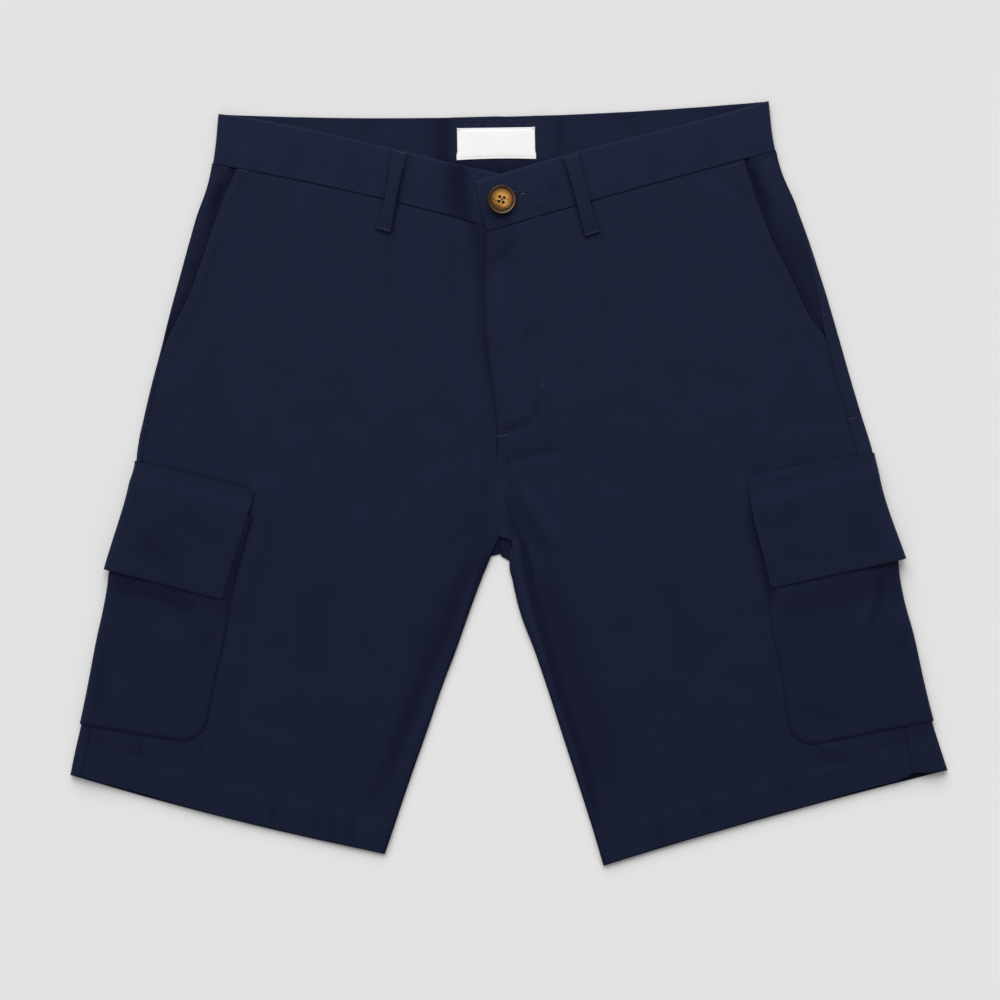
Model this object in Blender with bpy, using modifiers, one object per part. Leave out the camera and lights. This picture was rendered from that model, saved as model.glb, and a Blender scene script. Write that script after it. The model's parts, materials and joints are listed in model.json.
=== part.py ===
"""Men's cargo shorts, buttoned and laid face up, with every cut piece as its own wall of cloth.

The garment is a flattened tube. A section of it starts on the floor at the seat seam or back
inseam, runs out to the side, rolls up round the side fold and comes back over the top to the
centre front or front inseam. Each half has a table of such sections, one row for each level down
the side. Every panel is a stretch of those sections, and the pockets, flaps and loops are made
from the same points, moved out by one ply.

Tables and sizes are in millimetres. X runs to the wearer's left, Y to the waist and Z up from
the floor. The origin lies on the floor under the middle of the garment.
"""

import math
from collections import namedtuple

import bmesh
import bpy
import numpy as np
from mathutils import Euler, Vector

MM = 0.001

# Walls and clearances
CLOTH = 1.0
BAND = 1.6
LOOP = 1.2
LABEL = 0.5
GAP = 0.3
PLY = CLOTH + GAP

# Side fold: how far in its curve starts, and the outer height of the folded leg
FOLD_REACH = 4.0
FOLD_HEIGHT = 5.2
BAND_FOLD_HEIGHT = 5.8
FOLD_FALL = 55.0
FOLD_STEPS = 8
SLOPE_STEP = 0.05
QUARTER = math.pi / 2 * math.sqrt((FOLD_REACH**2 + (FOLD_HEIGHT / 2) ** 2) / 2)

# Fly: the wearer's left front laps over the right one, and the waistband's left end over its right
FLY_WIDTH = 38.0
FLY_SLOPE = 7.0
FLY_LIFT = 1.6
FLY_CLOSED = 160.0
FLY_FADE = 25.0
BAND_LAP_LIFT = BAND + GAP
BAND_LAP_NEAR = 24.0
BAND_LAP_FAR = 74.0
BAND_LAP_TOP = 17.5
BAND_LAP_WAIST = 8.9
UNDERLAP = 16.0

# Slant pocket
FACING_TUCK = 12.0
FACING_BEND = 7.0
FACING_DEPTH = PLY + 0.15
FACING_END = 8.0
MOUTH_GAPE = 0.8
MOUTH_FALL = 14.0

# Grid columns: distances in from a front panel's two edges
FRONT_SIDE_COLUMNS = (0, 1, 3.5, 8, 16, 27, 40)
INSEAM_COLUMNS = (0, 1.5, 4, 7, 10.5, 14.5, 21, 34)

# Inseam edge: the front rolls down on to the back
INSEAM_ROLL = 6.0
CROTCH_FADE = 25.0

# Cargo pocket and flap
LIFT_START = 13.0
LIFT_FALL = 18.0

# Waist button
BUTTON_RADIUS = 11.2
BUTTON_THICK = 3.2
BUTTON_HOLE = 0.9
BUTTON_HOLE_OFFSET = 1.75
BUTTON_TILT = math.radians(12)
BUTTON_TURN = math.radians(-11)
BUTTON_PLACE = (-5.8, 213.6)

# Half section of the button from the middle of its dished face over its raised rim to the middle
# of its domed back, as shares of its radius and thickness
Ring = namedtuple("Ring", "radius height")
BUTTON_RINGS = (
    Ring(0.0, 0.62),
    Ring(0.45, 0.62),
    Ring(0.66, 0.70),
    Ring(0.74, 0.64),
    Ring(0.80, 0.86),
    Ring(0.90, 1.0),
    Ring(0.97, 0.90),
    Ring(1.0, 0.62),
    Ring(0.96, 0.30),
    Ring(0.80, 0.08),
    Ring(0.50, 0.0),
    Ring(0.0, 0.0),
)

# Waist label on the inside of the back waistband
LABEL_SIZE = (60.0, 24.6, LABEL)
LABEL_PLACE = (-9.8, 258.0)
LABEL_TURN = math.radians(0.9)

NAVY = (0.0123, 0.0160, 0.0370, 1.0)
NAVY_INSIDE = (0.0100, 0.0130, 0.0310, 1.0)
WHITE = (0.88, 0.88, 0.89, 1.0)
HORN = (0.30, 0.16, 0.06, 1.0)

# One row for each level: distance down the side, the side fold, the centre front or front inseam,
# the seat seam or back inseam, how far in from the fold the front panel (mouth) and the back panel
# (seam) stop, how far the front of a section bows up the garment and leans its bow to the side,
# how far its back bows, how far the fly laps past the centre, the slack between front and back,
# and the grid rows to the next level.
Level = namedtuple(
    "Level",
    "name down side_x side_y front_x front_y back_x back_y mouth seam bow lean back_bow lap loft rows",
)

WEARERS_RIGHT = (
    Level("band_top", -38.5, -219.6, 279.0, -9.0, 234.9, -6.5, 277.0, 1, 1, 1.9, 1.0, -2.9, 0, 1.7, 2),
    Level("waist", 0.0, -223.9, 241.3, -8.0, 193.3, -6.5, 239.0, 18.5, 1, 3.2, 0, 0, 0, 1.7, 2),
    Level("hip", 44.5, -236.9, 199.0, -8.0, 145.5, -6.5, 181.5, 15.7, 1, 2.0, 0, 0, 0, 1.6, 2),
    Level("slant", 97.0, -250.6, 148.2, -8.0, 90.0, -6.5, 119.5, 12.8, 1, 1.0, 0, 0, 0, 1.5, 1),
    Level("fly_low", 127.0, -258.2, 119.3, -8.0, 59.0, -6.5, 85.0, 7.4, 1.4, 0.5, 0, 0, 0, 1.5, 2),
    Level("mouth_end", 150.0, -264.0, 97.3, -8.0, 35.0, -6.5, 58.5, 2.6, 2, 0, 0, 0, 0, 1.4, 2),
    Level("tack", 203.5, -276.0, 44.8, -7.6, -22.0, -6.5, -10.0, 3.6, 3.6, 0, 0, 0, 0, 1.3, 1),
    Level("crotch", 221.5, -279.4, 27.4, -8.6, -40.5, -6.5, -49.5, 4, 4, 0, 0, 0, 0, 1.2, 1),
    Level("fork", 227.0, -280.2, 21.8, -10.2, -47.0, -7.4, -53.6, 4.2, 4.2, 0, 0, 0, 0, 1.2, 1),
    Level("flap_top", 232.5, -280.7, 16.2, -12.9, -55.0, -12.9, -55.5, 4.4, 4.4, 0, 0, 0, 0, 1.2, 2),
    Level("pocket_top", 252.0, -284.8, -2.6, -20.0, -72.0, -20.0, -72.0, 4.8, 4.8, 0, 0, 0, 0, 1.1, 3),
    Level("flap_low", 318.0, -300.2, -66.8, -42.3, -132.9, -42.3, -132.9, 6, 6, -0.5, 0, -0.5, 0, 0.9, 1),
    Level("flap_end", 333.0, -302.8, -81.5, -47.6, -147.2, -47.6, -147.2, 6.3, 6.3, -0.8, 0, -0.8, 0, 0.8, 2),
    Level("pocket_mid", 372.0, -309.9, -120.1, -61.4, -184.8, -61.4, -184.8, 7, 7, -1.5, 0, -1.5, 0, 0.8, 3),
    Level("pocket_low", 436.5, -322.7, -183.0, -82.9, -246.3, -82.9, -246.3, 7.8, 7.8, -2.8, 0, -3.0, 0, 0.8, 1),
    Level("pocket_end", 452.0, -326.6, -198.5, -88.1, -262.2, -88.1, -262.2, 8, 8, -3.0, 0.2, -3.6, 0, 0.8, 1),
    Level("hem", 474.0, -331.8, -219.7, -94.8, -282.3, -94.8, -282.3, 8.2, 8.2, -3.2, 0.5, -4.2, 0, 0.8, 0),
)

WEARERS_LEFT = (
    Level("band_top", -38.5, 196.4, 288.7, -9.0, 234.9, -6.5, 277.0, 1, 1, 0.9, -2.2, -1.9, 18, 1.7, 2),
    Level("waist", 0.0, 202.0, 251.3, -8.0, 194.0, -6.5, 239.0, 24.9, 1, 1.3, 0, 0, 8.9, 1.7, 2),
    Level("hip", 46.5, 218.2, 208.0, -8.0, 144.8, -6.5, 181.5, 26.8, 1.6, 1.0, 0, 0, 10.2, 1.6, 2),
    Level("slant", 100.0, 235.7, 157.3, -8.0, 90.0, -6.5, 119.5, 19.4, 5.5, 0.5, 0, 0, 6.4, 1.5, 1),
    Level("fly_low", 131.0, 244.8, 127.6, -8.0, 59.0, -6.5, 85.0, 14.2, 8.4, 0.2, 0, 0, 2.6, 1.5, 1),
    Level("mouth_end", 153.5, 250.9, 106.4, -8.0, 35.3, -6.5, 58.5, 9.8, 9.8, 0, 0, 0, 0.2, 1.4, 2),
    Level("tack", 213.5, 267.2, 48.6, -7.6, -26.6, -6.5, -14.0, 10.7, 10.7, 0, 0, 0, 0, 1.3, 1),
    Level("crotch", 231.0, 272.0, 31.7, -7.8, -40.2, -6.4, -51.5, 11, 11, 0, 0, 0, 0, 1.2, 1),
    Level("fork", 236.0, 273.0, 27.0, 3.2, -45.5, -6.2, -55.0, 11.1, 11.1, 0, 0, 0, 0, 1.2, 1),
    Level("flap_top", 241.0, 273.8, 22.2, 0.6, -56.0, 0.8, -59.5, 11.3, 11.3, 0, 0, 0, 0, 1.2, 2),
    Level("pocket_top", 260.5, 277.6, 3.2, 3.2, -74.5, 3.2, -74.5, 11.7, 11.7, 0, 0, 0, 0, 1.1, 3),
    Level("flap_low", 325.0, 292.4, -59.3, 22.0, -133.6, 22.0, -133.6, 15, 15, 0.3, 0, 0.3, 0, 0.9, 1),
    Level("flap_end", 340.0, 295.2, -74.0, 27.0, -148.3, 27.0, -148.3, 16, 16, 0.4, 0, 0.4, 0, 0.8, 2),
    Level("pocket_mid", 383.0, 304.1, -116.3, 41.0, -189.0, 41.0, -189.0, 18.5, 18.5, 1, 0, 1, 0, 0.8, 3),
    Level("pocket_low", 449.5, 319.3, -180.6, 61.3, -251.6, 61.3, -251.6, 21.5, 21.5, 1.9, 0, 1.8, 0, 0.8, 1),
    Level("pocket_end", 465.0, 324.3, -196.0, 66.3, -267.6, 66.3, -267.6, 23, 23, 2.1, 0, 1.8, 0, 0.8, 1),
    Level("hem", 488.0, 331.6, -218.0, 73.0, -288.6, 73.0, -288.6, 25.7, 25.7, 2.4, 0, 1.4, 0, 0.8, 0),
)

# A crease beside an inseam: distance in from it at the top and at the hem, half width, depth
Crease = namedtuple("Crease", "top_in hem_in half_width depth starts ends")
RIGHT_LEG_CREASE = Crease(15.0, 26.0, 9.0, 0.5, 245.0, 450.0)
LEFT_LEG_CREASE = Crease(9.5, 12.0, 4.0, 0.7, 240.0, 478.0)

# A cargo pocket or flap: reach to each side of the outseam, rounding of its lower front corner,
# how far its upper and lower edges climb towards the front, and how far its lower edge stands out
Patch = namedtuple("Patch", "reach corner top_climb low_climb flare")
RIGHT_POCKET = Patch(85.8, 17.0, 0.0, 11.5, 0.0)
RIGHT_FLAP = Patch(83.5, 2.0, 1.0, 0.0, 1.0)
LEFT_POCKET = Patch(85.0, 17.0, 0.0, 5.8, 0.0)
LEFT_FLAP = Patch(82.8, 2.5, 6.6, 2.0, 2.6)
FLARE_FALL = 30.0

# Belt loops: distance in from the side at the waist's top edge and at the loop's foot, width,
# ends, and rise of its middle over the waistband
BeltLoop = namedtuple("BeltLoop", "top_in foot_in width starts ends arch")
RIGHT_LOOP = BeltLoop(140.6, 137.8, 10.8, -35.2, 23.5, 1.6)
LEFT_LOOP = BeltLoop(153.6, 152.0, 10.8, -34.8, 25.5, 1.6)


def ease(value):
    """Smooth step from 0 to 1 as the value goes from 0 to 1."""
    t = np.clip(value, 0.0, 1.0)
    return t * t * (3.0 - 2.0 * t)


def read_smoothly(x, xs, ys):
    """Monotone cubic through a table: harmonic mean slopes, so that it never overshoots."""
    step = np.diff(xs)
    rise = np.diff(ys) / step
    both = rise[1:] * rise[:-1]
    total = np.where(both > 0, rise[1:] + rise[:-1], 1.0)
    slope = np.concatenate([rise[:1], np.where(both > 0, 2 * both / total, 0.0), rise[-1:]])
    i = np.clip(np.searchsorted(xs, x) - 1, 0, len(xs) - 2)
    t = (x - xs[i]) / step[i]
    start = ys[i] + t * step[i] * slope[i]
    end = ys[i + 1] - (1 - t) * step[i] * slope[i + 1]
    return start + ease(t) * (end - start)


class Half:
    """One half of the garment: sections read smoothly at any distance down the side."""

    def __init__(self, levels, crease, pocket, flap, fly_lift):
        self.levels = levels
        self.downs = np.array([level.down for level in levels])
        self.crease = crease
        self.pocket = pocket
        self.flap = flap
        self.fly_lift = fly_lift
        self.beyond_pocket = pocket.reach + LIFT_START
        self.key = {level.name: level.down for level in levels}

    def read(self, column, down):
        return read_smoothly(down, self.downs, np.array([getattr(r, column) for r in self.levels]))

    def pocket_share(self, down):
        """1 where the cargo pocket lies, with soft ends above and below it."""
        key = self.key
        start = ease((down - key["flap_top"]) / (key["pocket_top"] - key["flap_top"]))
        return start * (1 - ease((down - key["pocket_low"]) / (key["pocket_end"] - key["pocket_low"])))

    def flap_share(self, down):
        """1 where the flap lies, with soft ends above and below it."""
        key = self.key
        start = ease((down - key["crotch"]) / (key["flap_top"] - key["crotch"]))
        return start * (1 - ease((down - key["flap_low"]) / (key["flap_end"] - key["flap_low"])))

    def base(self, down, across):
        """Height of the back panel's underside: it lies on the pocket and flap below it."""
        plies = self.pocket_share(down) + self.flap_share(down)
        return PLY * plies * (1 - ease((across - self.beyond_pocket) / LIFT_FALL))

    def front_edge(self, down):
        """Distance in from the side to the front panel's outer edge: the slant, then the outseam."""
        slant = self.read("mouth", down)
        return np.where(down < self.key["mouth_end"], slant, self.read("seam", down))

    def front_length(self, down):
        """Length of a section from the side to the centre front or front inseam."""
        dx = self.read("front_x", down) - self.read("side_x", down)
        dy = self.read("front_y", down) - self.read("side_y", down)
        return np.hypot(dx, dy)

    def back_length(self, down):
        """Length of a section from the side to the seat seam or back inseam."""
        dx = self.read("back_x", down) - self.read("side_x", down)
        dy = self.read("back_y", down) - self.read("side_y", down)
        return np.hypot(dx, dy)

    def top_height(self, down, across, wall, fold_height):
        """Middle of the front wall above the base: high at the fold, falling to the slack height,
        rolled down on to the back at the inseam, with the crease beside it."""
        flat = CLOTH + self.read("loft", down) - (wall - CLOTH) / 2
        high = fold_height - wall
        fall = ease((across - FOLD_REACH) / FOLD_FALL)
        height = high + (flat - high) * fall
        from_inner = self.front_length(down) - across
        leg = ease((down - self.key["crotch"]) / CROTCH_FADE)
        roll = 1 - (1 - np.clip(from_inner / INSEAM_ROLL, 0, 1)) ** 2
        height = height + (PLY - height) * (1 - roll) * leg
        return np.maximum(height + leg * self.crease_height(down, from_inner, roll), PLY)

    def crease_height(self, down, from_inner, roll):
        """The crease beside the inseam: a dip with a soft ridge between it and the seam."""
        crease = self.crease
        along = np.clip((down - crease.starts) / (crease.ends - crease.starts), 0, 1)
        middle = crease.top_in + (crease.hem_in - crease.top_in) * along
        dip = np.exp(-(((from_inner - middle) / crease.half_width) ** 2))
        ridge = np.exp(-(((from_inner - middle / 2) / crease.half_width) ** 2))
        return crease.depth * np.sin(np.pi * along) ** 0.4 * (ridge * roll - dip)

    def fly_height(self, down, across, wall):
        """Lift of the fly's facing, and of the waistband's lapped end, over the other front."""
        from_edge = self.front_length(down) + self.read("lap", down) - across
        if wall == BAND:
            lapped = 1 - ease((from_edge - BAND_LAP_NEAR) / (BAND_LAP_FAR - BAND_LAP_NEAR))
            return self.fly_lift * BAND_LAP_LIFT * lapped
        fly = 1 - ease((from_edge - FLY_WIDTH) / FLY_SLOPE)
        closed = 1 - ease((down - FLY_CLOSED) / FLY_FADE)
        return self.fly_lift * FLY_LIFT * fly * closed

    def mouth_height(self, down, across):
        """Lift of the slant pocket's edge where the mouth stands open."""
        from_edge = across - self.front_edge(down)
        open_part = np.sin(np.pi * np.clip(down / self.key["mouth_end"], 0, 1)) ** 2
        return MOUTH_GAPE * open_part * (1 - ease(from_edge / MOUTH_FALL))

    def profile(self, down, path, wall):
        """Distance in from the side and height of the wall's middle. Path is 0 at the fold's
        outermost line, positive over the top and negative on the floor side."""
        fold_height = BAND_FOLD_HEIGHT if wall == BAND else FOLD_HEIGHT
        half_height = (fold_height - wall) / 2
        turn = np.clip(path / QUARTER, -1, 1) * math.pi / 2
        beyond = np.maximum(np.abs(path) - QUARTER, 0)
        across = wall / 2 + FOLD_REACH * (1 - np.cos(turn)) + beyond
        rolled = half_height * (1 + np.sin(turn))
        over = self.top_height(down, across, wall, fold_height)
        over = over + self.fly_height(down, across, wall)
        height = np.where(path > QUARTER, over, rolled)
        return across, height + wall / 2 + self.base(down, across)

    def path_at(self, across, wall=CLOTH):
        """Path position over the top for a distance in from the side."""
        curved = np.clip(1 - (across - wall / 2) / FOLD_REACH, -1, 1)
        return np.where(
            across < wall / 2 + FOLD_REACH,
            np.arccos(curved) / (math.pi / 2) * QUARTER,
            across - wall / 2 - FOLD_REACH + QUARTER,
        )

    def place(self, down, path, out=0.0, wall=CLOTH, rise=0.0):
        """Points of a wall's middle, moved out from the section by a distance."""
        across, height = self.profile(down, path, wall)
        before = self.profile(down, path - SLOPE_STEP, wall)
        after = self.profile(down, path + SLOPE_STEP, wall)
        run_in, run_up = after[0] - before[0], after[1] - before[1]
        size = np.hypot(run_in, run_up)
        across = across - out * run_up / size
        height = height + out * run_in / size + rise
        top = ease((path / QUARTER + 1) / 2)
        side = np.stack([self.read("side_x", down), self.read("side_y", down)], -1)
        front = np.stack([self.read("front_x", down), self.read("front_y", down)], -1) - side
        back = np.stack([self.read("back_x", down), self.read("back_y", down)], -1) - side
        front_length = np.linalg.norm(front, axis=-1)
        back_length = np.linalg.norm(back, axis=-1)
        front_unit = front / front_length[..., None]
        back_unit = back / back_length[..., None]
        unit = back_unit + (front_unit - back_unit) * top[..., None]
        share = across / (back_length + (front_length - back_length) * top)
        share = np.clip(share, 0, 1)
        lean = 1 + self.read("lean", down) * (1 - 2 * share)
        bow = self.read("bow", down) * lean * top + self.read("back_bow", down) * (1 - top)
        curve = 4 * bow * share * (1 - share)
        plan = side + unit * across[..., None]
        return np.stack([plan[..., 0], plan[..., 1] + curve, height], -1)

    def lift_columns(self):
        """Path positions across the slope where a panel comes down off the pocket below it."""
        return self.path_at(self.beyond_pocket + LIFT_FALL * np.array([-0.2, 0.25, 0.5, 0.75, 1.2]))

    def row_levels(self, first, last):
        """Distances down the side for grid rows, with each level's own number of rows below it."""
        downs = []
        for level, following in zip(self.levels, self.levels[1:]):
            steps = np.arange(level.rows) / level.rows
            downs.extend(level.down + (following.down - level.down) * steps)
        downs = np.array(downs + [self.levels[-1].down])
        inside = downs[(downs > first + 2) & (downs < last - 2)]
        return np.concatenate([[first], inside, [last]])


RIGHT = Half(WEARERS_RIGHT, RIGHT_LEG_CREASE, RIGHT_POCKET, RIGHT_FLAP, 0.0)
LEFT = Half(WEARERS_LEFT, LEFT_LEG_CREASE, LEFT_POCKET, LEFT_FLAP, 1.0)


def material(name, colour, roughness):
    made = bpy.data.materials.new(name)
    made.use_nodes = True
    shader = made.node_tree.nodes["Principled BSDF"]
    shader.inputs["Base Color"].default_value = colour
    shader.inputs["Roughness"].default_value = roughness
    shader.inputs["Metallic"].default_value = 0.0
    made.diffuse_color = colour
    return made


def add_object(name, mesh, slot, collection):
    obj = bpy.data.objects.new(name, mesh)
    mesh.materials.append(slot)
    collection.objects.link(obj)
    return obj


def cloth(name, points, wall, slot, collection):
    """A wall of cloth whose middle runs through a grid of points, rows down and columns across."""
    rows, columns = points.shape[0] - 1, points.shape[1] - 1
    bm = bmesh.new()
    bmesh.ops.create_grid(bm, x_segments=columns, y_segments=rows, size=1.0)
    for vertex in bm.verts:
        column = round((vertex.co.x + 1) / 2 * columns)
        row = round((1 - vertex.co.y) / 2 * rows)
        vertex.co = Vector(points[row, column]) * MM
    mesh = bpy.data.meshes.new(name)
    bm.to_mesh(mesh)
    bm.free()
    mesh.shade_smooth()
    obj = add_object(name, mesh, slot, collection)
    wall_modifier = obj.modifiers.new("wall", "SOLIDIFY")
    wall_modifier.thickness = wall * MM
    wall_modifier.offset = 0.0
    return obj


def spread(outer, inner, outer_steps, inner_steps, middle):
    """Columns between two edges: given steps in from each edge and even ones between them."""
    start = outer[:, None] + np.array(outer_steps)[None, :]
    end = inner[:, None] - np.array(inner_steps)[None, ::-1]
    first = start[:, -1:] if outer_steps else outer[:, None]
    last = end[:, :1] if inner_steps else inner[:, None]
    share = np.linspace(0, 1, middle + 2)[None, 1:-1]
    return np.concatenate([start, first + (last - first) * share, end], axis=1)


def front_panel(half, name, slot, collection):
    """From the slant pocket's edge and outseam over the top to the centre front and inseam."""
    downs = half.row_levels(GAP / 2, half.levels[-1].down)
    outer = half.path_at(half.front_edge(downs)) + GAP / 2
    edge = half.front_length(downs) + half.read("lap", downs) - GAP / 2
    inner = half.path_at(edge)
    lifted = np.repeat(half.lift_columns()[None, :], len(downs), axis=0)
    near_side = spread(outer, lifted[:, 0], FRONT_SIDE_COLUMNS, (), 2)
    near_fly = spread(lifted[:, -1], inner, (), INSEAM_COLUMNS, 3)
    path = np.concatenate([near_side, lifted, near_fly], axis=1)
    down = np.repeat(downs[:, None], path.shape[1], axis=1)
    across, _ = half.profile(down, path, CLOTH)
    points = half.place(down, path, rise=half.mouth_height(down, across))
    return cloth(name, points, CLOTH, slot, collection)


def back_panel(half, name, slot, collection):
    """From the outseam round the side fold and along the floor to the seat seam and inseam."""
    downs = half.row_levels(GAP / 2, half.levels[-1].down)
    seam = np.maximum(half.path_at(half.read("seam", downs)) - GAP / 2, 1.0)
    split = np.minimum(seam * 0.7, QUARTER)
    over = seam[:, None] + (split - seam)[:, None] * np.linspace(0, 1, 3)[None, :-1]
    fold = split[:, None] + (-QUARTER - split)[:, None] * np.linspace(0, 1, FOLD_STEPS)[None, :]
    reach = half.path_at(half.back_length(downs) - GAP / 2)
    lifted = np.repeat(half.lift_columns()[None, :], len(downs), axis=0)
    under = spread(np.full_like(reach, QUARTER), lifted[:, 0], (6,), (), 1)
    near_seat = spread(lifted[:, -1], reach, (), (0, 10), 2)
    path = np.concatenate([over, fold, -under, -lifted, -near_seat], axis=1)
    down = np.repeat(downs[:, None], path.shape[1], axis=1)
    return cloth(name, half.place(down, path), CLOTH, slot, collection)


def hip_facing(half, name, slot, collection):
    """The strip seen in the slant pocket: level with the fold, then tucked under the front."""
    downs = half.row_levels(GAP / 2, half.key["mouth_end"] + FACING_END)
    seam = np.maximum(half.path_at(half.read("seam", downs)), 1.0 + GAP / 2) + GAP
    mouth = half.path_at(half.front_edge(downs))
    bend = np.maximum(mouth - FACING_BEND, seam + 1.5)
    shown = bend[:, None] - (bend - seam)[:, None] * np.array([1, 0.9, 0.7, 0.4])[None, :]
    shown[:, 1] = seam + 0.5
    tucked = bend[:, None] + (mouth + FACING_TUCK - bend)[:, None] * np.linspace(0, 1, 7)[None, :]
    path = np.concatenate([shown, tucked], axis=1)
    down = np.repeat(downs[:, None], path.shape[1], axis=1)
    sunk = ease((path - mouth[:, None] + FACING_BEND) / (FACING_BEND - 2))
    return cloth(name, half.place(down, path, out=-FACING_DEPTH * sunk), CLOTH, slot, collection)


def round_corner(distance, radius):
    """How much an edge is shortened at a distance from a corner rounded to a radius."""
    inside = np.clip(1 - distance / radius, 0, 1)
    return radius * (1 - np.sqrt(1 - inside**2))


def patch_columns(half, patch):
    """Path positions of a pocket or flap wrapped evenly round the outseam, closer at its corner."""
    seam = float(half.path_at(half.read("seam", half.key["flap_low"])))
    front = seam + patch.reach
    corner = front - patch.corner * np.array([0, 0.08, 0.35, 1.0])
    top = np.linspace(front - patch.corner, QUARTER, 6)[1:]
    fold = np.linspace(QUARTER, -QUARTER, FOLD_STEPS)[1:]
    under = np.linspace(-QUARTER, seam - patch.reach, 6)[1:]
    return np.concatenate([corner, top, fold, under])


def patch_piece(half, patch, levels, plies, name, slot, collection):
    """A pocket or flap made from the leg's own points, moved out by its plies. Its edges climb
    towards the front, its lower front corner is rounded and its lower edge stands out."""
    starts, steady, ends = (half.key[level] for level in levels)
    columns = patch_columns(half, patch)
    forward = np.clip(columns / columns[0], 0, 1)
    rows = half.row_levels(starts, ends)
    corner_rows = ends - patch.corner * np.array([0.35, 0.08])
    rows = np.sort(np.concatenate([rows, corner_rows]))[:, None]
    low_share = np.clip((rows - steady) / (ends - steady), 0, 1)
    high_share = np.clip((steady - rows) / (steady - starts), 0, 1)
    shorter = round_corner(columns[0] - columns, patch.corner) + patch.low_climb * forward
    longer = patch.top_climb * (1 - (1 - forward) ** 2)
    down = rows - low_share * shorter - high_share * longer
    path = np.repeat(columns[None, :], len(rows), axis=0)
    over_fold = ease(path / QUARTER + 0.3)
    along = 1 - 0.7 * ease((path - QUARTER) / FLARE_FALL)
    flare = patch.flare * over_fold * along * low_share**2
    out = PLY * plies(down) + flare
    return cloth(name, half.place(down, path, out=out), CLOTH, slot, collection)


def cargo_pocket(half, name, slot, collection):
    """The patch pocket: one ply out from the leg."""
    levels = ("pocket_top", "pocket_mid", "pocket_low")
    return patch_piece(half, half.pocket, levels, np.ones_like, name, slot, collection)


def cargo_flap(half, name, slot, collection):
    """The flap: one ply out where it is sewn, two where it lies on the pocket."""
    levels = ("flap_top", "pocket_top", "flap_low")

    def plies(down):
        return 1 + half.pocket_share(down)

    return patch_piece(half, half.flap, levels, plies, name, slot, collection)


def waistband(name, slot, collection):
    """One doubled strip from the lapped end round the left side, the back and the right side to
    the end tucked under it."""
    downs = np.linspace(RIGHT.key["band_top"], -GAP / 2, 5)
    sides = []
    up = downs / downs[0]
    over_lap = BAND_LAP_WAIST + (BAND_LAP_TOP - BAND_LAP_WAIST) * up
    for half, lap in ((LEFT, over_lap), (RIGHT, UNDERLAP * up)):
        reach = half.path_at(half.front_length(downs) + lap, BAND)
        front = spread(np.full_like(reach, QUARTER), reach, (6,), (0, 12, 30, 50), 8)[:, ::-1]
        fold = np.repeat(np.linspace(QUARTER, -QUARTER, 7)[None, :], len(downs), axis=0)
        back_reach = half.path_at(half.back_length(downs), BAND)
        back = -spread(np.full_like(reach, QUARTER), back_reach, (8,), (0,), 4)
        path = np.concatenate([front, fold, back], axis=1)
        down = np.repeat(downs[:, None], path.shape[1], axis=1)
        sides.append(half.place(down, path, wall=BAND))
    left, right = sides
    points = np.concatenate([left, right[:, -2::-1]], axis=1)
    return cloth(name, points, BAND, slot, collection)


def belt_loop(half, size, name, slot, collection):
    """A flat strip from the waistband's top edge to below the waist seam, arched between."""
    down = np.linspace(size.starts, size.ends, 11)[:, None]
    share = (down - size.starts) / (size.ends - size.starts)
    middle = size.top_in + (size.foot_in - size.top_in) * share
    across = middle + size.width * np.array([-0.5, 0, 0.5])[None, :]
    path = half.path_at(across, BAND)
    down = np.repeat(down, 3, axis=1)
    on_band = half.place(down, path, wall=BAND)
    on_panel = half.place(down, half.path_at(across), wall=CLOTH)
    over_band = on_band[..., 2] + BAND / 2
    over_panel = on_panel[..., 2] + CLOTH / 2
    under = over_band + (over_panel - over_band) * ease(down / size.ends)
    points = on_band
    points[..., 2] = under + GAP + LOOP / 2 + size.arch * np.sin(np.pi * share) ** 0.8
    return cloth(name, points, LOOP, slot, collection)


def waist_label(name, slot, collection):
    """A blank woven label on the inside of the back waistband."""
    bm = bmesh.new()
    bmesh.ops.create_cube(bm, size=1.0)
    bmesh.ops.scale(bm, vec=Vector(LABEL_SIZE) * MM, verts=bm.verts)
    mesh = bpy.data.meshes.new(name)
    bm.to_mesh(mesh)
    bm.free()
    obj = add_object(name, mesh, slot, collection)
    obj.location = Vector((*LABEL_PLACE, BAND + GAP + LABEL / 2)) * MM
    obj.rotation_euler = Euler((0, 0, LABEL_TURN))
    return obj


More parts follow.
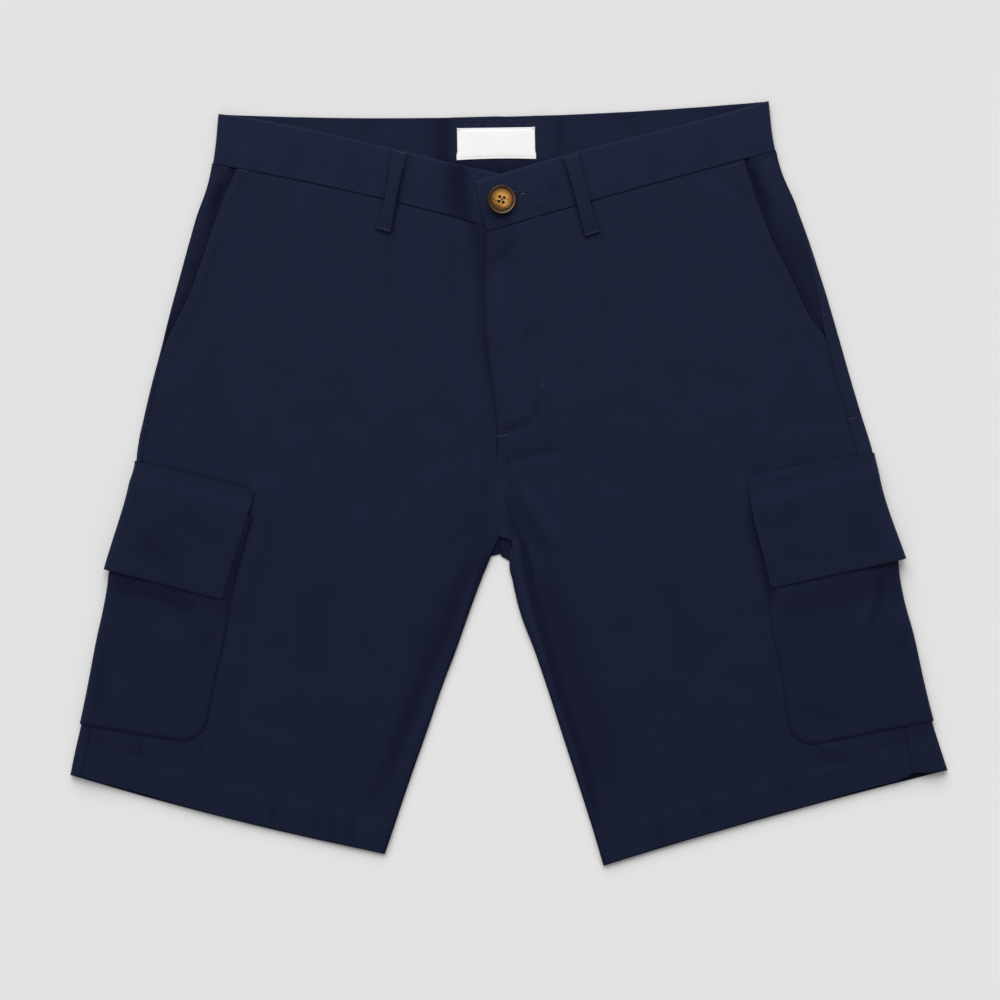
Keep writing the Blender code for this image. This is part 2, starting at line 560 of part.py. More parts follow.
def waist_button(name, slot, collection, cutters):
    """A turned four-hole button, tilted as its thread lets it lie on the lapped waistband."""
    mesh = bpy.data.meshes.new(name)
    radius, thick = BUTTON_RADIUS * MM, BUTTON_THICK * MM
    profile = [(ring.radius * radius, 0.0, ring.height * thick) for ring in BUTTON_RINGS]
    edges = [(i, i + 1) for i in range(len(profile) - 1)]
    mesh.from_pydata(profile, edges, [])
    obj = add_object(name, mesh, slot, collection)
    turn = obj.modifiers.new("turn", "SCREW")
    turn.steps = turn.render_steps = 32
    turn.use_merge_vertices = True
    turn.merge_threshold = 0.00001
    turn.use_smooth_shade = True
    bm = bmesh.new()
    for side_x in (-1, 1):
        for side_y in (-1, 1):
            hole = bmesh.ops.create_cone(
                bm,
                cap_ends=True,
                segments=10,
                radius1=BUTTON_HOLE * MM,
                radius2=BUTTON_HOLE * MM,
                depth=4 * BUTTON_THICK * MM,
            )
            shift = Vector((side_x, side_y, 0)) * BUTTON_HOLE_OFFSET * MM
            bmesh.ops.translate(bm, vec=shift, verts=hole["verts"])
    cutter_mesh = bpy.data.meshes.new(name + "_holes")
    bm.to_mesh(cutter_mesh)
    bm.free()
    cutter = bpy.data.objects.new(name + "_holes", cutter_mesh)
    cutters.objects.link(cutter)
    cutter.hide_render = True
    cutter.display_type = "WIRE"
    cutter.parent = obj
    holes = obj.modifiers.new("holes", "BOOLEAN")
    holes.operation = "DIFFERENCE"
    holes.solver = "EXACT"
    holes.object = cutter
    below = LEFT.place(*band_position(BUTTON_PLACE), wall=BAND)[0, 2] + BAND / 2
    height = below + GAP + 0.7 * BUTTON_RADIUS * math.sin(BUTTON_TILT)
    obj.location = Vector((*BUTTON_PLACE, height)) * MM
    obj.rotation_euler = Euler((0, BUTTON_TILT, BUTTON_TURN))
    return obj


def band_position(place):
    """Level and path on the left front waistband nearest to a place seen from above."""
    downs, across = np.meshgrid(np.linspace(-38, 0, 77), np.linspace(120, 240, 241))
    paths = LEFT.path_at(across, BAND)
    points = LEFT.place(downs, paths, wall=BAND)
    miss = np.hypot(points[..., 0] - place[0], points[..., 1] - place[1])
    best = np.unravel_index(np.argmin(miss), miss.shape)
    return downs[best][None], paths[best][None]


def clear_scene():
    for obj in list(bpy.data.objects):
        bpy.data.objects.remove(obj, do_unlink=True)


def main():
    clear_scene()
    scene = bpy.context.scene
    shorts = bpy.data.collections.new("cargo_shorts")
    cutters = bpy.data.collections.new("cutters")
    scene.collection.children.link(shorts)
    scene.collection.children.link(cutters)
    twill = material("navy_twill", NAVY, 0.85)
    inside = material("navy_facing", NAVY_INSIDE, 0.9)
    woven = material("white_label", WHITE, 0.7)
    horn = material("brown_horn", HORN, 0.3)
    for half, side in ((RIGHT, "right"), (LEFT, "left")):
        front_panel(half, f"front_panel_{side}", twill, shorts)
        back_panel(half, f"back_panel_{side}", twill, shorts)
        hip_facing(half, f"hip_facing_{side}", inside, shorts)
        cargo_pocket(half, f"cargo_pocket_{side}", twill, shorts)
        cargo_flap(half, f"cargo_flap_{side}", twill, shorts)
    waistband("waistband", twill, shorts)
    belt_loop(RIGHT, RIGHT_LOOP, "belt_loop_right", twill, shorts)
    belt_loop(LEFT, LEFT_LOOP, "belt_loop_left", twill, shorts)
    waist_label("waist_label", woven, shorts)
    waist_button("waist_button", horn, shorts, cutters)


main()
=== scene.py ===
"""Men's cargo shorts, buttoned and laid face up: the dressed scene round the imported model.

The garment is a flattened tube. A section of it starts on the floor at the seat seam or back
inseam, runs out to the side, rolls up round the side fold and comes back over the top to the
centre front or front inseam. Every cloth surface here is a function of two lengths: how far down
the side a point lies, and how far along its section, counted from the fold's outermost line.

Tables and sizes are in millimetres. X runs to the wearer's left, Y to the waist and Z up from
the floor. The origin lies on the floor under the middle of the garment.
"""

import json
import math

from collections import namedtuple

import bpy
import numpy as np
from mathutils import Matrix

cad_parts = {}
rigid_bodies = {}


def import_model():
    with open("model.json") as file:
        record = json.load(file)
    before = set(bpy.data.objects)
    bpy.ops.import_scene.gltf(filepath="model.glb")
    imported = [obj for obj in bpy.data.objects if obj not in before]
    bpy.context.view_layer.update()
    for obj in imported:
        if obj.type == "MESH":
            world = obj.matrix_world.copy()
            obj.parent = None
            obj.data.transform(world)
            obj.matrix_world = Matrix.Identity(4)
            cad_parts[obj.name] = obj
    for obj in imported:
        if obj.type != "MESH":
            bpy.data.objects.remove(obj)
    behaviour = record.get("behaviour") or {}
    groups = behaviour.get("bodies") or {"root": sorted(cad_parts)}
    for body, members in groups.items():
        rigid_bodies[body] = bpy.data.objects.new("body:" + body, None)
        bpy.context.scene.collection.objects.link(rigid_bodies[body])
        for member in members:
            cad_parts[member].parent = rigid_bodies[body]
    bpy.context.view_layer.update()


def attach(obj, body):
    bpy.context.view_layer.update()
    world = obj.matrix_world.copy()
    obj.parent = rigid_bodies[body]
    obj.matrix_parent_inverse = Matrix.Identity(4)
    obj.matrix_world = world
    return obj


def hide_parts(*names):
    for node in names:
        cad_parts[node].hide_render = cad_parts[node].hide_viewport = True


bl_info = {
    "name": "Cargo shorts",
    "version": (1, 0, 0),
    "blender": (4, 5, 0),
    "location": "View3D > Sidebar > Shorts",
    "description": "Dresses the packed cargo shorts with cloth, sewing, label and button",
    "category": "Add Mesh",
}

for unused in list(bpy.data.objects):
    bpy.data.objects.remove(unused, do_unlink=True)

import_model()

MM = 0.001

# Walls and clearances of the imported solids
CLOTH = 1.0
BAND = 1.6
LOOP = 1.2
LABEL = 0.5
GAP = 0.3
PLY = CLOTH + GAP

# Side fold: how far in its curve starts, and the outer height of the folded leg
FOLD_REACH = 4.0
FOLD_HEIGHT = 5.2
BAND_FOLD_HEIGHT = 5.8
FOLD_FALL = 55.0
SLOPE_STEP = 0.05
QUARTER = math.pi / 2 * math.sqrt((FOLD_REACH**2 + (FOLD_HEIGHT / 2) ** 2) / 2)
CREASED_FROM = 0.6 * QUARTER
CREASED_FULLY = 13.0

# Fly: the wearer's left front laps over the right one, and the waistband's left end over its right
FLY_WIDTH = 38.0
FLY_SLOPE = 7.0
FLY_LIFT = 1.6
FLY_CLOSED = 160.0
FLY_FADE = 25.0
CLOSING = 12.0
CENTRE_FADE = 8.0
FELL_UNDER = 1.3
FELL_OVER = 0.3
BAND_LAP_LIFT = BAND + GAP
BAND_LAP_NEAR = 24.0
BAND_LAP_FAR = 74.0
BAND_LAP_TOP = 17.5
BAND_LAP_WAIST = 8.9
UNDERLAP = 16.0

# Slant pocket
FACING_TUCK = 12.0
FACING_BEND = 7.0
FACING_DEPTH = PLY + 0.15
FACING_END = 8.0
MOUTH_GAPE = 0.8
MOUTH_INSET = 3.0
MOUTH_STRAIGHT = 20.0
MOUTH_REACH = 13.0
MOUTH_FALL = 14.0
MOUTH_CLOSING = 4.0
OUTSEAM_OVERLAP = 0.2

# Inseam edge: the front rolls down on to the back
INSEAM_ROLL = 6.0
CROTCH_FADE = 25.0

# Cargo pocket and flap
LIFT_START = 13.0
LIFT_FALL = 18.0
FLARE_FALL = 30.0
FLARE_PRESSED = 0.6
SETTLED = 0.25

# Waist button
BUTTON_RADIUS = 11.2
BUTTON_THICK = 3.2
BUTTON_HOLE = 1.1
BUTTON_HOLE_OFFSET = 1.75
BUTTON_TILT = math.radians(14)
BUTTON_TURN = math.radians(-11)
BUTTON_PLACE = (-5.6, 213.3)

# Waist label on the inside of the back waistband
LABEL_WIDE = 58.8
LABEL_HIGH = 24.2
LABEL_PLACE = (-9.4, 256.4)
LABEL_TURN = math.radians(0.9)
LABEL_ROW = 1.3

# One row for each level: distance down the side, the side fold, the centre front or front inseam,
# the seat seam or back inseam, how far in from the fold the front panel (mouth) and the back panel
# (seam) stop, how far the front of a section bows up the garment and leans its bow to the side,
# how far its back bows, how far the fly laps past the centre, and the slack between front and back.
Level = namedtuple(
    "Level", "name down side_x side_y front_x front_y back_x back_y mouth seam bow lean back_bow lap loft"
)

WEARERS_RIGHT = (
    Level("band_top", -38.5, -219.6, 278.8, -9.0, 234.4, -6.5, 277.4, 1, 1, 2.7, 1.0, -2.2, 0, 1.7),
    Level("waist", 0.0, -223.9, 240.6, -8.0, 191.6, -6.5, 239.0, 18.5, 1, 3.2, 0, 0, 0, 1.7),
    Level("hip", 44.5, -236.2, 199.0, -8.0, 145.5, -6.5, 181.5, 14.6, 1, 2.0, 0, 0, 0, 1.6),
    Level("slant", 97.0, -250.2, 148.2, -8.0, 90.0, -6.5, 119.5, 10.9, 1, 1.0, 0, 0, 0, 1.5),
    Level("fly_low", 127.0, -258.2, 119.3, -8.0, 59.0, -6.5, 85.0, 5.6, 1.4, 0.5, 0, 0, 0, 1.5),
    Level("mouth_end", 150.0, -264.0, 97.3, -8.0, 35.0, -6.5, 58.5, 2.6, 2, 0, 0, 0, 0, 1.4),
    Level("tack", 203.5, -277.0, 44.8, -7.6, -22.0, -6.5, -10.0, 3.6, 3.6, 0, 0, 0, 0, 1.3),
    Level("crotch", 221.5, -280.5, 27.4, -8.6, -40.5, -6.5, -49.5, 4, 4, 0, 0, 0, 0, 1.2),
    Level("fork", 227.0, -281.2, 21.8, -10.2, -47.0, -6.7, -54.2, 4.2, 4.2, 0, 0, 0, 0, 1.2),
    Level("flap_top", 232.5, -281.5, 16.2, -12.9, -55.0, -12.9, -55.5, 4.4, 4.4, 0, 0, 0, 0, 1.2),
    Level("pocket_top", 252.0, -284.8, -2.6, -20.0, -72.0, -20.0, -72.0, 4.8, 4.8, 0, 0, 0, 0, 1.1),
    Level("flap_low", 318.0, -300.7, -66.8, -42.0, -132.9, -42.0, -132.9, 6, 6, -0.5, 0, -0.5, 0, 0.9),
    Level("flap_end", 333.0, -302.8, -81.5, -47.6, -147.2, -47.6, -147.2, 6.3, 6.3, -0.8, 0, -0.8, 0, 0.8),
    Level("pocket_mid", 372.0, -310.8, -120.1, -60.6, -184.8, -60.6, -184.8, 7, 7, -1.5, 0, -1.5, 0, 0.8),
    Level("pocket_low", 436.5, -323.2, -183.0, -82.0, -246.3, -82.0, -246.3, 7.8, 7.8, -2.8, 0, -3.0, 0, 0.8),
    Level("pocket_end", 452.0, -327.0, -198.5, -87.2, -262.2, -87.2, -262.2, 8, 8, -3.0, 0.2, -3.6, 0, 0.8),
    Level("hem", 474.0, -331.8, -221.6, -93.8, -281.4, -93.8, -281.4, 8.2, 8.2, -2.8, 0.5, -3.1, 0, 0.8),
)

WEARERS_LEFT = (
    Level("band_top", -38.5, 196.9, 288.7, -9.0, 232.4, -6.5, 277.0, 1, 1, 0.9, -2.2, -1.9, 18, 1.7),
    Level("waist", 0.0, 202.0, 250.6, -8.0, 192.0, -6.5, 239.0, 24.9, 1, 1.3, 0, 0, 8.9, 1.7),
    Level("hip", 46.5, 218.2, 208.0, -8.0, 144.8, -6.5, 181.5, 26.8, 1.6, 1.0, 0, 0, 10.2, 1.6),
    Level("slant", 100.0, 235.7, 157.3, -8.0, 90.0, -6.5, 119.5, 21.3, 5.5, 0.5, 0, 0, 6.4, 1.5),
    Level("fly_low", 131.0, 244.8, 127.6, -8.0, 59.0, -6.5, 85.0, 16.6, 8.4, 0.2, 0, 0, 2.6, 1.5),
    Level("mouth_end", 153.5, 250.9, 106.4, -8.0, 35.3, -6.5, 58.5, 9.8, 9.8, 0, 0, 0, 0.2, 1.4),
    Level("tack", 213.5, 267.8, 48.6, -7.6, -26.6, -6.5, -14.0, 10.7, 10.7, 0, 0, 0, 0, 1.3),
    Level("crotch", 231.0, 273.2, 31.7, -7.8, -40.2, -6.4, -51.5, 11, 11, 0, 0, 0, 0, 1.2),
    Level("fork", 236.0, 274.5, 27.0, 3.2, -45.5, -6.2, -55.0, 11.1, 11.1, 0, 0, 0, 0, 1.2),
    Level("flap_top", 241.0, 275.5, 22.2, 0.6, -56.0, 0.8, -59.5, 11.3, 11.3, 0, 0, 0, 0, 1.2),
    Level("pocket_top", 260.5, 278.3, 3.2, 3.2, -74.5, 3.2, -74.5, 11.7, 11.7, 0, 0, 0, 0, 1.1),
    Level("flap_low", 325.0, 293.3, -59.3, 22.0, -133.6, 22.0, -133.6, 15, 15, 0.3, 0, 0.3, 0, 0.9),
    Level("flap_end", 340.0, 295.2, -74.0, 27.0, -148.3, 27.0, -148.3, 16, 16, 0.4, 0, 0.4, 0, 0.8),
    Level("pocket_mid", 383.0, 305.6, -116.3, 40.2, -189.0, 40.2, -189.0, 18.5, 18.5, 1, 0, 1, 0, 0.8),
    Level("pocket_low", 449.5, 320.5, -180.6, 60.4, -251.6, 60.4, -251.6, 21.5, 21.5, 1.9, 0, 1.8, 0, 0.8),
    Level("pocket_end", 465.0, 325.3, -196.0, 65.4, -267.6, 65.4, -267.6, 23, 23, 2.1, 0, 1.8, 0, 0.8),
    Level("hem", 488.0, 332.4, -218.0, 72.0, -290.2, 72.0, -290.2, 25.7, 25.7, 2.4, 0, 1.9, 0, 0.8),
)

# A crease beside an inseam: distance in from it at the top and at the hem, half width, depth
InseamCrease = namedtuple("InseamCrease", "top_in hem_in half_width depth starts ends")
RIGHT_LEG_CREASE = InseamCrease(13.0, 21.0, 9.0, 0.35, 245.0, 450.0)
LEFT_LEG_CREASE = InseamCrease(12.5, 8.5, 4.0, 0.5, 240.0, 478.0)

# Where a front's hem hangs shorter than the back's: place along the section, half width, depth
Gape = namedtuple("Gape", "middle half_width depth")
RIGHT_GAPES = (Gape(40.0, 70.0, 1.9),)
LEFT_GAPES = (Gape(50.0, 60.0, 1.3), Gape(25.0, 9.0, 3.0))

# A cargo pocket or flap: reach to each side of the outseam, rounding of its lower front corner,
# how far its upper and lower edges climb towards the front, how far its lower edge stands out and
# its sewn edges are pressed down, how far its front edge lies further out at its upper and lower
# ends, and the levels where it starts, where it turns from upper to lower part, and where it ends
Patch = namedtuple(
    "Patch", "reach corner top_climb low_climb flare pressed top_out low_out starts steady ends"
)
POCKET_LEVELS = ("pocket_top", "pocket_mid", "pocket_low")
FLAP_LEVELS = ("flap_top", "pocket_top", "flap_low")
RIGHT_POCKET = Patch(85.8, 17.0, 0.0, 11.5, 0.0, 0.8, 2.0, 0.0, *POCKET_LEVELS)
RIGHT_FLAP = Patch(83.5, 2.0, 1.0, 0.0, 3.6, 0.0, 2.2, -2.2, *FLAP_LEVELS)
LEFT_POCKET = Patch(85.0, 18.0, 0.0, 5.8, 0.0, 0.8, -4.2, 6.8, *POCKET_LEVELS)
LEFT_FLAP = Patch(82.8, 2.5, 6.6, 4.6, 6.0, 0.0, 0.0, 0.0, *FLAP_LEVELS)

# Belt loops: distance in from the side at the waist's top edge and at the loop's foot, width,
# ends, rise of its middle over the waistband, how far its middle lies further in, and the width
# there as a share of its own
BeltLoop = namedtuple("BeltLoop", "top_in foot_in width starts ends arch bend waist")
RIGHT_LOOP = BeltLoop(140.6, 137.8, 10.8, -37.9, 23.5, 1.8, -0.9, 0.82)
LEFT_LOOP = BeltLoop(156.0, 151.2, 10.8, -36.7, 25.5, 1.8, -2.6, 0.94)
LOOP_SPREAD = 1.06
LOOP_TURNED = 0.2
LOOP_ROUND = 0.35
# How far the painted shadow beside a belt loop reaches, on its inner side and on its outer side
LOOP_SHADE_REACH = (2.2, 1.2)

# Creases, given one by one. Each runs through its points from its upper end down, seen from above. Its
# section is a bell of its half width, sunk by its depth (raised if negative), with a share of the
# depth turned over beside it, on the wearer's left of it where the share is positive.
# The height of the creases is also painted into the cloth's colour: painted shade in the hollows, painted
# light on the ridges.
Fold = namedtuple("Fold", "points half_width depth shoulder", defaults=(0.0,))

TOP_FOLDS = (
    # Beside the fly and down it
    Fold(((-18.5, 208), (-19.2, 170), (-20.4, 146), (-17.4, 98), (-14, 76), (-11, 46)), 4.6, 0.58),
    Fold(((-32, 218), (-27, 196), (-24, 174), (-22, 146)), 7.0, 0.72),
    Fold(((-30, 204), (-25, 190), (-18, 176)), 4.0, 0.45),
    Fold(
        (
            (-18, 216), (-17.6, 190), (-18, 182.4), (-16.9, 170.3), (-19.5, 146.9), (-17.6, 127.2),
            (-17.1, 111.4), (-15.8, 95.9), (-13.3, 76.6), (-10.5, 52.4), (-9.7, 24),
        ),
        1.3, 0.55,
    ),
    Fold(((9, 190), (-1, 176), (-14, 157)), 5.4, 0.62, -0.3),
    Fold(((-10, 194), (-8, 180), (-11, 164)), 7.0, 0.40),
    Fold(((-9, 39.2), (-1, 40.2), (9, 42.6)), 1.7, 0.60),
    Fold(((-42, 190), (-45, 160), (-40, 128)), 9.0, 0.30),
    Fold(((-5, 178), (-6, 150), (-7, 110)), 5.0, -0.30),
    Fold(((-10.3, 168), (-11.5, 163), (-13, 154)), 2.6, 0.32),
    Fold(((18.5, 121), (14, 112), (9.5, 105)), 2.6, 0.34, -0.4),
    Fold(((-9, 104), (-8.7, 99.6), (-8.4, 94)), 2.2, 0.3),
    Fold(((5, 180), (7, 150), (4, 120)), 7.0, 0.22, 0.5),
    Fold(((24, 72), (21.5, 54), (15.6, 47), (5.3, 41.5), (-9, 39)), 3.0, 0.50, -0.5),
    # Below the fly's tack, down to the fork
    Fold(((-7, 15), (8.7, 19), (24, 22.5), (44, 23.4)), 3.2, 0.36, -0.9),
    Fold(((-14.5, 26), (-16.8, 20), (-18.8, 5), (-15.4, -20)), 3.2, 0.40, -0.3),
    Fold(((-2.5, 21), (-1.2, 16), (-1.9, 9)), 2.2, 0.30),
    Fold(((-2.4, 2.5), (4.5, -4), (10.5, -14)), 3.0, 0.34, 0.5),
    Fold(((-3.2, -6), (9, -21), (22, -40), (38, -62)), 5.5, 0.65, 0.3),
    Fold(((-22, -16), (-34, -36), (-52, -52)), 6.0, 0.30, -0.5),
    # Wearer's left leg: the sharp crease out of the fork, running beside the inseam
    Fold(
        (
            (-3.6, 4), (-1.6, -14), (1.4, -25.6), (5.5, -35), (10.5, -46), (13.2, -58), (16.3, -74.5),
            (20.1, -89.7), (28.5, -120), (36.1, -150.5), (46, -181), (56.6, -211.3), (63.5, -241.7),
            (76, -284),
        ),
        2.9, 1.70, 0.1,
    ),
    Fold(((12, -40), (24, -66), (34, -96), (50, -140), (66, -190), (84, -250)), 12.0, 0.62),
    # Wearer's right leg: the broad hollow beside the inseam
    Fold(
        (
            (-14.5, -6), (-16.3, -18.2), (-18.6, -29.6), (-23.2, -45.3), (-30, -66.1), (-37.5, -86),
            (-47.5, -117), (-56, -135), (-69, -164), (-81, -194), (-93, -225), (-106, -256),
        ),
        7.0, 0.72, -0.1,
    ),
    Fold(((-40, -76), (-56, -110), (-74, -146)), 11.0, 0.28),
    Fold(((-64, -158), (-72, -176), (-80, -196)), 6.0, 0.20),
    # Puckers across the wearer's right hem
    Fold(((-176, -240), (-178, -250), (-180, -262)), 2.8, 0.34, -0.4),
    Fold(((-146, -241), (-146.5, -255), (-148, -268)), 3.0, 0.40, -0.4),
    Fold(((-133, -252), (-133.4, -262), (-134, -274)), 2.8, 0.36, 0.4),
    Fold(((-118, -248), (-118.4, -262), (-120, -275)), 3.0, 0.36, 0.4),
    Fold(((-160, -236), (-161, -252), (-163, -266)), 4.0, -0.26),
    Fold(((-104, -250), (-106, -266), (-108, -278)), 4.0, -0.22),
    Fold(((-252, -186), (-246, -189), (-240, -194)), 2.6, 0.30, 0.4),
    Fold(((-278, -188), (-278.8, -200), (-279.4, -213)), 2.4, 0.42, 0.3),
    Fold(((-214, -196), (-190, -206), (-160, -211)), 7.0, 0.22, 0.5),
    # Wearer's left hem, below the pocket
    Fold(((227, -200), (247, -208), (268, -215)), 4.0, 0.36, 0.5),
    Fold(((209, -199), (209.4, -224), (211, -252)), 4.5, 0.28, 0.4),
    Fold(((214, -220), (222, -227), (230, -232)), 3.6, 0.28),
    Fold(((146, -232), (148, -248), (151, -270)), 3.4, 0.26, -0.4),
    Fold(((112, -244), (114, -258), (117, -279)), 3.4, 0.28, 0.4),
    Fold(((182, -222), (184, -240), (188, -262)), 3.6, 0.24, 0.4),
    # Fronts below the waistband
    Fold(((-208, 232), (-196, 224), (-186, 208)), 4.5, 0.30, 0.4),
    Fold(((-170, 226), (-172, 206), (-178, 184)), 6.0, 0.22, 0.4),
    Fold(((158, 236), (170, 226), (186, 210)), 4.5, 0.34, -0.4),
    Fold(((132, 226), (138, 204), (146, 176)), 6.0, 0.20, 0.4),
    Fold(((-96, 200), (-90, 170), (-96, 130)), 9.0, 0.24, 0.4),
    Fold(((76, 196), (70, 160), (74, 120)), 9.0, 0.22, -0.4),
    # Long soft folds over the thighs
    Fold(((-60, 40), (-96, 6), (-140, -16)), 12.0, 0.16, 0.5),
    Fold(((52, 44), (90, 16), (130, 4)), 12.0, 0.16, -0.5),
    Fold(((-236, 90), (-220, 60), (-212, 30)), 9.0, 0.24, 0.4),
    Fold(((228, 96), (214, 66), (206, 36)), 9.0, 0.24, -0.4),
    Fold(((-130, -70), (-146, -110), (-150, -150)), 11.0, 0.28, 0.4),
    Fold(((118, -72), (132, -112), (138, -152)), 11.0, 0.26, -0.4),
)

# On the flaps and pockets alone, seen from above
FLAP_FOLDS = (
    Fold(((-248, -20), (-229, -38), (-212, -48)), 6.5, 0.42),
    Fold(((-281, -40), (-268, -52), (-252, -60)), 7.5, 0.44),
    Fold(((216, -14), (212, -27), (204, -42)), 7.0, 0.26, 0.4),
    Fold(((262, -22), (269, -40), (272, -58)), 9.0, 0.42, 0.4),
    Fold(((208, -44), (211, -53), (216, -62)), 4.0, 0.24, -0.4),
    Fold(((236, -8), (242, -30), (240, -52)), 8.0, -0.20),
)

POCKET_FOLDS = (
    Fold(((-230, -104), (-232.5, -130), (-234, -156)), 7.0, 0.36, 0.4),
    Fold(((-237, -92), (-229, -98), (-221, -103)), 3.0, -0.40),
    Fold(((-226, -112), (-224.6, -117), (-224, -122)), 3.0, 0.40),
    Fold(((-312, -76), (-290, -80), (-262, -86), (-222, -97)), 8.0, 0.62),
    Fold(((204, -98), (230, -94), (256, -88), (304, -70)), 8.0, 0.62),
    Fold(((-266, -86), (-252, -94), (-238, -102)), 6.0, 0.30),
    Fold(((-306, -122), (-309, -150), (-313, -178)), 5.0, 0.42, -0.4),
    Fold(((-262, -104), (-257, -111), (-252, -118)), 7.0, -0.28),
    Fold(((-296, -140), (-294, -152), (-288, -164)), 8.0, -0.26),
    Fold(((-272, -160), (-262, -174), (-246, -184)), 8.0, 0.22, 0.4),
    Fold(((281, -66), (279.6, -80), (278.5, -94), (274, -106), (265, -116)), 3.6, 0.56, -0.5),
    Fold(((214, -96), (210, -101), (204, -108)), 5.0, 0.26),
    Fold(((300, -106), (298.5, -118), (299, -132)), 5.0, 0.34, 0.4),
    Fold(((218, -164), (236, -176), (258, -184)), 6.0, 0.30, 0.4),
    Fold(((232, -112), (240, -132), (238, -152)), 9.0, 0.24, -0.4),
    Fold(((262, -132), (272, -148), (290, -160)), 8.0, 0.24, 0.4),
)

# On the waistband's front, seen from above
BAND_FOLDS = (
    Fold(((-40, 250), (-38.6, 236), (-36.9, 216), (-34, 186)), 8.4, 1.85),
    Fold(((-200, 256), (-200, 248), (-199, 238)), 9.0, -0.40),
    Fold(((-48, 240), (-49, 220), (-47, 196)), 9.0, 0.45),
    Fold(((-26, 238), (-25, 222), (-24, 200)), 3.0, -0.30),
    Fold(((33, 230), (34.5, 222), (36, 212)), 4.0, 0.50, 0.4),
    Fold(((44, 238), (46, 222), (45, 204)), 7.0, 0.30, 0.4),
    Fold(((108, 252), (110, 236), (112, 220)), 7.0, 0.26, -0.4),
    Fold(((150, 262), (153, 244), (158, 228)), 6.0, 0.30, 0.4),
    Fold(((-116, 254), (-118, 238), (-121, 218)), 8.0, 0.28, 0.4),
    Fold(((-160, 262), (-163, 246), (-167, 230)), 6.0, 0.26, -0.4),
)

# Slow unevenness of soft cloth: wave length, heading from X in degrees, phase and height of each
# wave, and reach, run and phase of the bends in the places that they are read at
Wave = namedtuple("Wave", "length heading phase height")
WAVES = (
    Wave(94.0, 12.0, 0.4, 0.06),
    Wave(71.0, 74.0, 2.0, 0.05),
    Wave(53.0, 141.0, 4.1, 0.05),
    Wave(39.0, 38.0, 1.2, 0.04),
    Wave(27.0, 98.0, 5.2, 0.035),
)
Bend = namedtuple("Bend", "reach run phase")
BENDS_IN_X = (Bend(13.0, 43.0, 0.7), Bend(6.0, 17.0, 2.9))
BENDS_IN_Y = (Bend(12.0, 37.0, 2.1), Bend(5.0, 21.0, 0.3))

# Rounding of the corner where a height meets the least that it may be
SOFTNESS = 0.12


def length_setting(name, description, default):
    """A length that a user can change."""
    return bpy.props.FloatProperty(name=name, description=description, default=default, unit="LENGTH")


def colour_setting(name, description, default):
    """A colour that a user can change."""
    return bpy.props.FloatVectorProperty(name=name, description=description, default=default, subtype="COLOR")


def number_setting(name, description, default, **limits):
    """A plain number that a user can change."""
    return bpy.props.FloatProperty(name=name, description=description, default=default, **limits)


def angle_setting(name, description, degrees):
    """An angle that a user can change."""
    return number_setting(name, description, math.radians(degrees), subtype="ANGLE")


class ShortsCloth(bpy.types.PropertyGroup):
    """Sizes of the cloth and its sewing."""

    panel_wall: length_setting("Panel wall", "Thickness of the leg panels", 0.0009)
    patch_wall: length_setting("Pocket wall", "Thickness of the pockets and flaps", 0.0011)
    band_wall: length_setting("Waistband wall", "Thickness of the doubled waistband", 0.0016)
    loop_wall: length_setting("Loop wall", "Thickness of the belt loops", 0.0012)
    label_wall: length_setting("Label wall", "Thickness of the woven label", 0.0005)
    top_step: length_setting("Upper grid", "Grid spacing of cloth that faces up", 0.0023)
    floor_step: length_setting("Lower grid", "Grid spacing of cloth on the floor", 0.006)
    crease_depth: number_setting("Crease depth", "How deep the creases are pressed", 1.0, min=0.0, max=2.0)
    stitch_length: length_setting("Stitch length", "Length of one topstitch", 0.0027)
    stitch_gap: length_setting("Stitch gap", "Gap between two topstitches", 0.0007)
    thread_radius: length_setting("Thread radius", "Radius of the sewing thread", 0.00024)


class ShortsColours(bpy.types.PropertyGroup):
    """Colours of the cloth, thread, label and button."""

    navy: colour_setting("Twill", "Dyed cotton twill", (0.0093, 0.0134, 0.0310))
    thread: colour_setting("Thread", "Sewing thread", (0.0082, 0.0118, 0.0310))
    # The tack thread is paler than the rows as a painted highlight, for the light its dense strands catch
    tack: colour_setting("Tack thread", "Paler thread of the tacks", (0.027, 0.032, 0.058))
    label: colour_setting("Label", "Woven label", (0.97, 0.97, 0.975))
    horn_light: colour_setting("Horn, light", "Light streaks of the horn", (0.74, 0.395, 0.105))
    horn_dark: colour_setting("Horn, dark", "Dark streaks of the horn", (0.052, 0.024, 0.006))


class ShortsStage(bpy.types.PropertyGroup):
    """Floor, light and camera."""

    floor: colour_setting("Floor", "Colour of the floor", (0.795, 0.795, 0.795))
    floor_radius: length_setting("Floor radius", "Reach of the floor", 30.0)
    sky: number_setting("Room light", "Even light from all round", 0.40, min=0.0)
    key: number_setting("Key light", "Strength of the large soft light", 2.92, min=0.0)
    key_height: angle_setting("Key height", "Height of the key light over the floor", 38)
    key_spread: angle_setting("Key spread", "How wide the key light looks", 60)
    lens: number_setting("Lens", "Focal length in millimetres", 85.0, min=10.0)
    camera_height: length_setting("Camera height", "Height of the camera over the floor", 1.790)
    aim: bpy.props.FloatVectorProperty(
        name="Aim", description="Point on the floor under the camera", default=(-0.00646, -0.01330), size=2,
        subtype="XYZ",
    )


def ease(value):
    """Smooth step from 0 to 1 as the value goes from 0 to 1."""
    t = np.clip(value, 0.0, 1.0)
    return t * t * (3.0 - 2.0 * t)


def fade(value):
    """Smooth step from 1 to 0 as the value goes from 0 to 1."""
    return 1 - ease(value)


def bell(value):
    """1 at 0, falling evenly to both sides as the square's negative exponential."""
    return np.exp(-np.square(value))


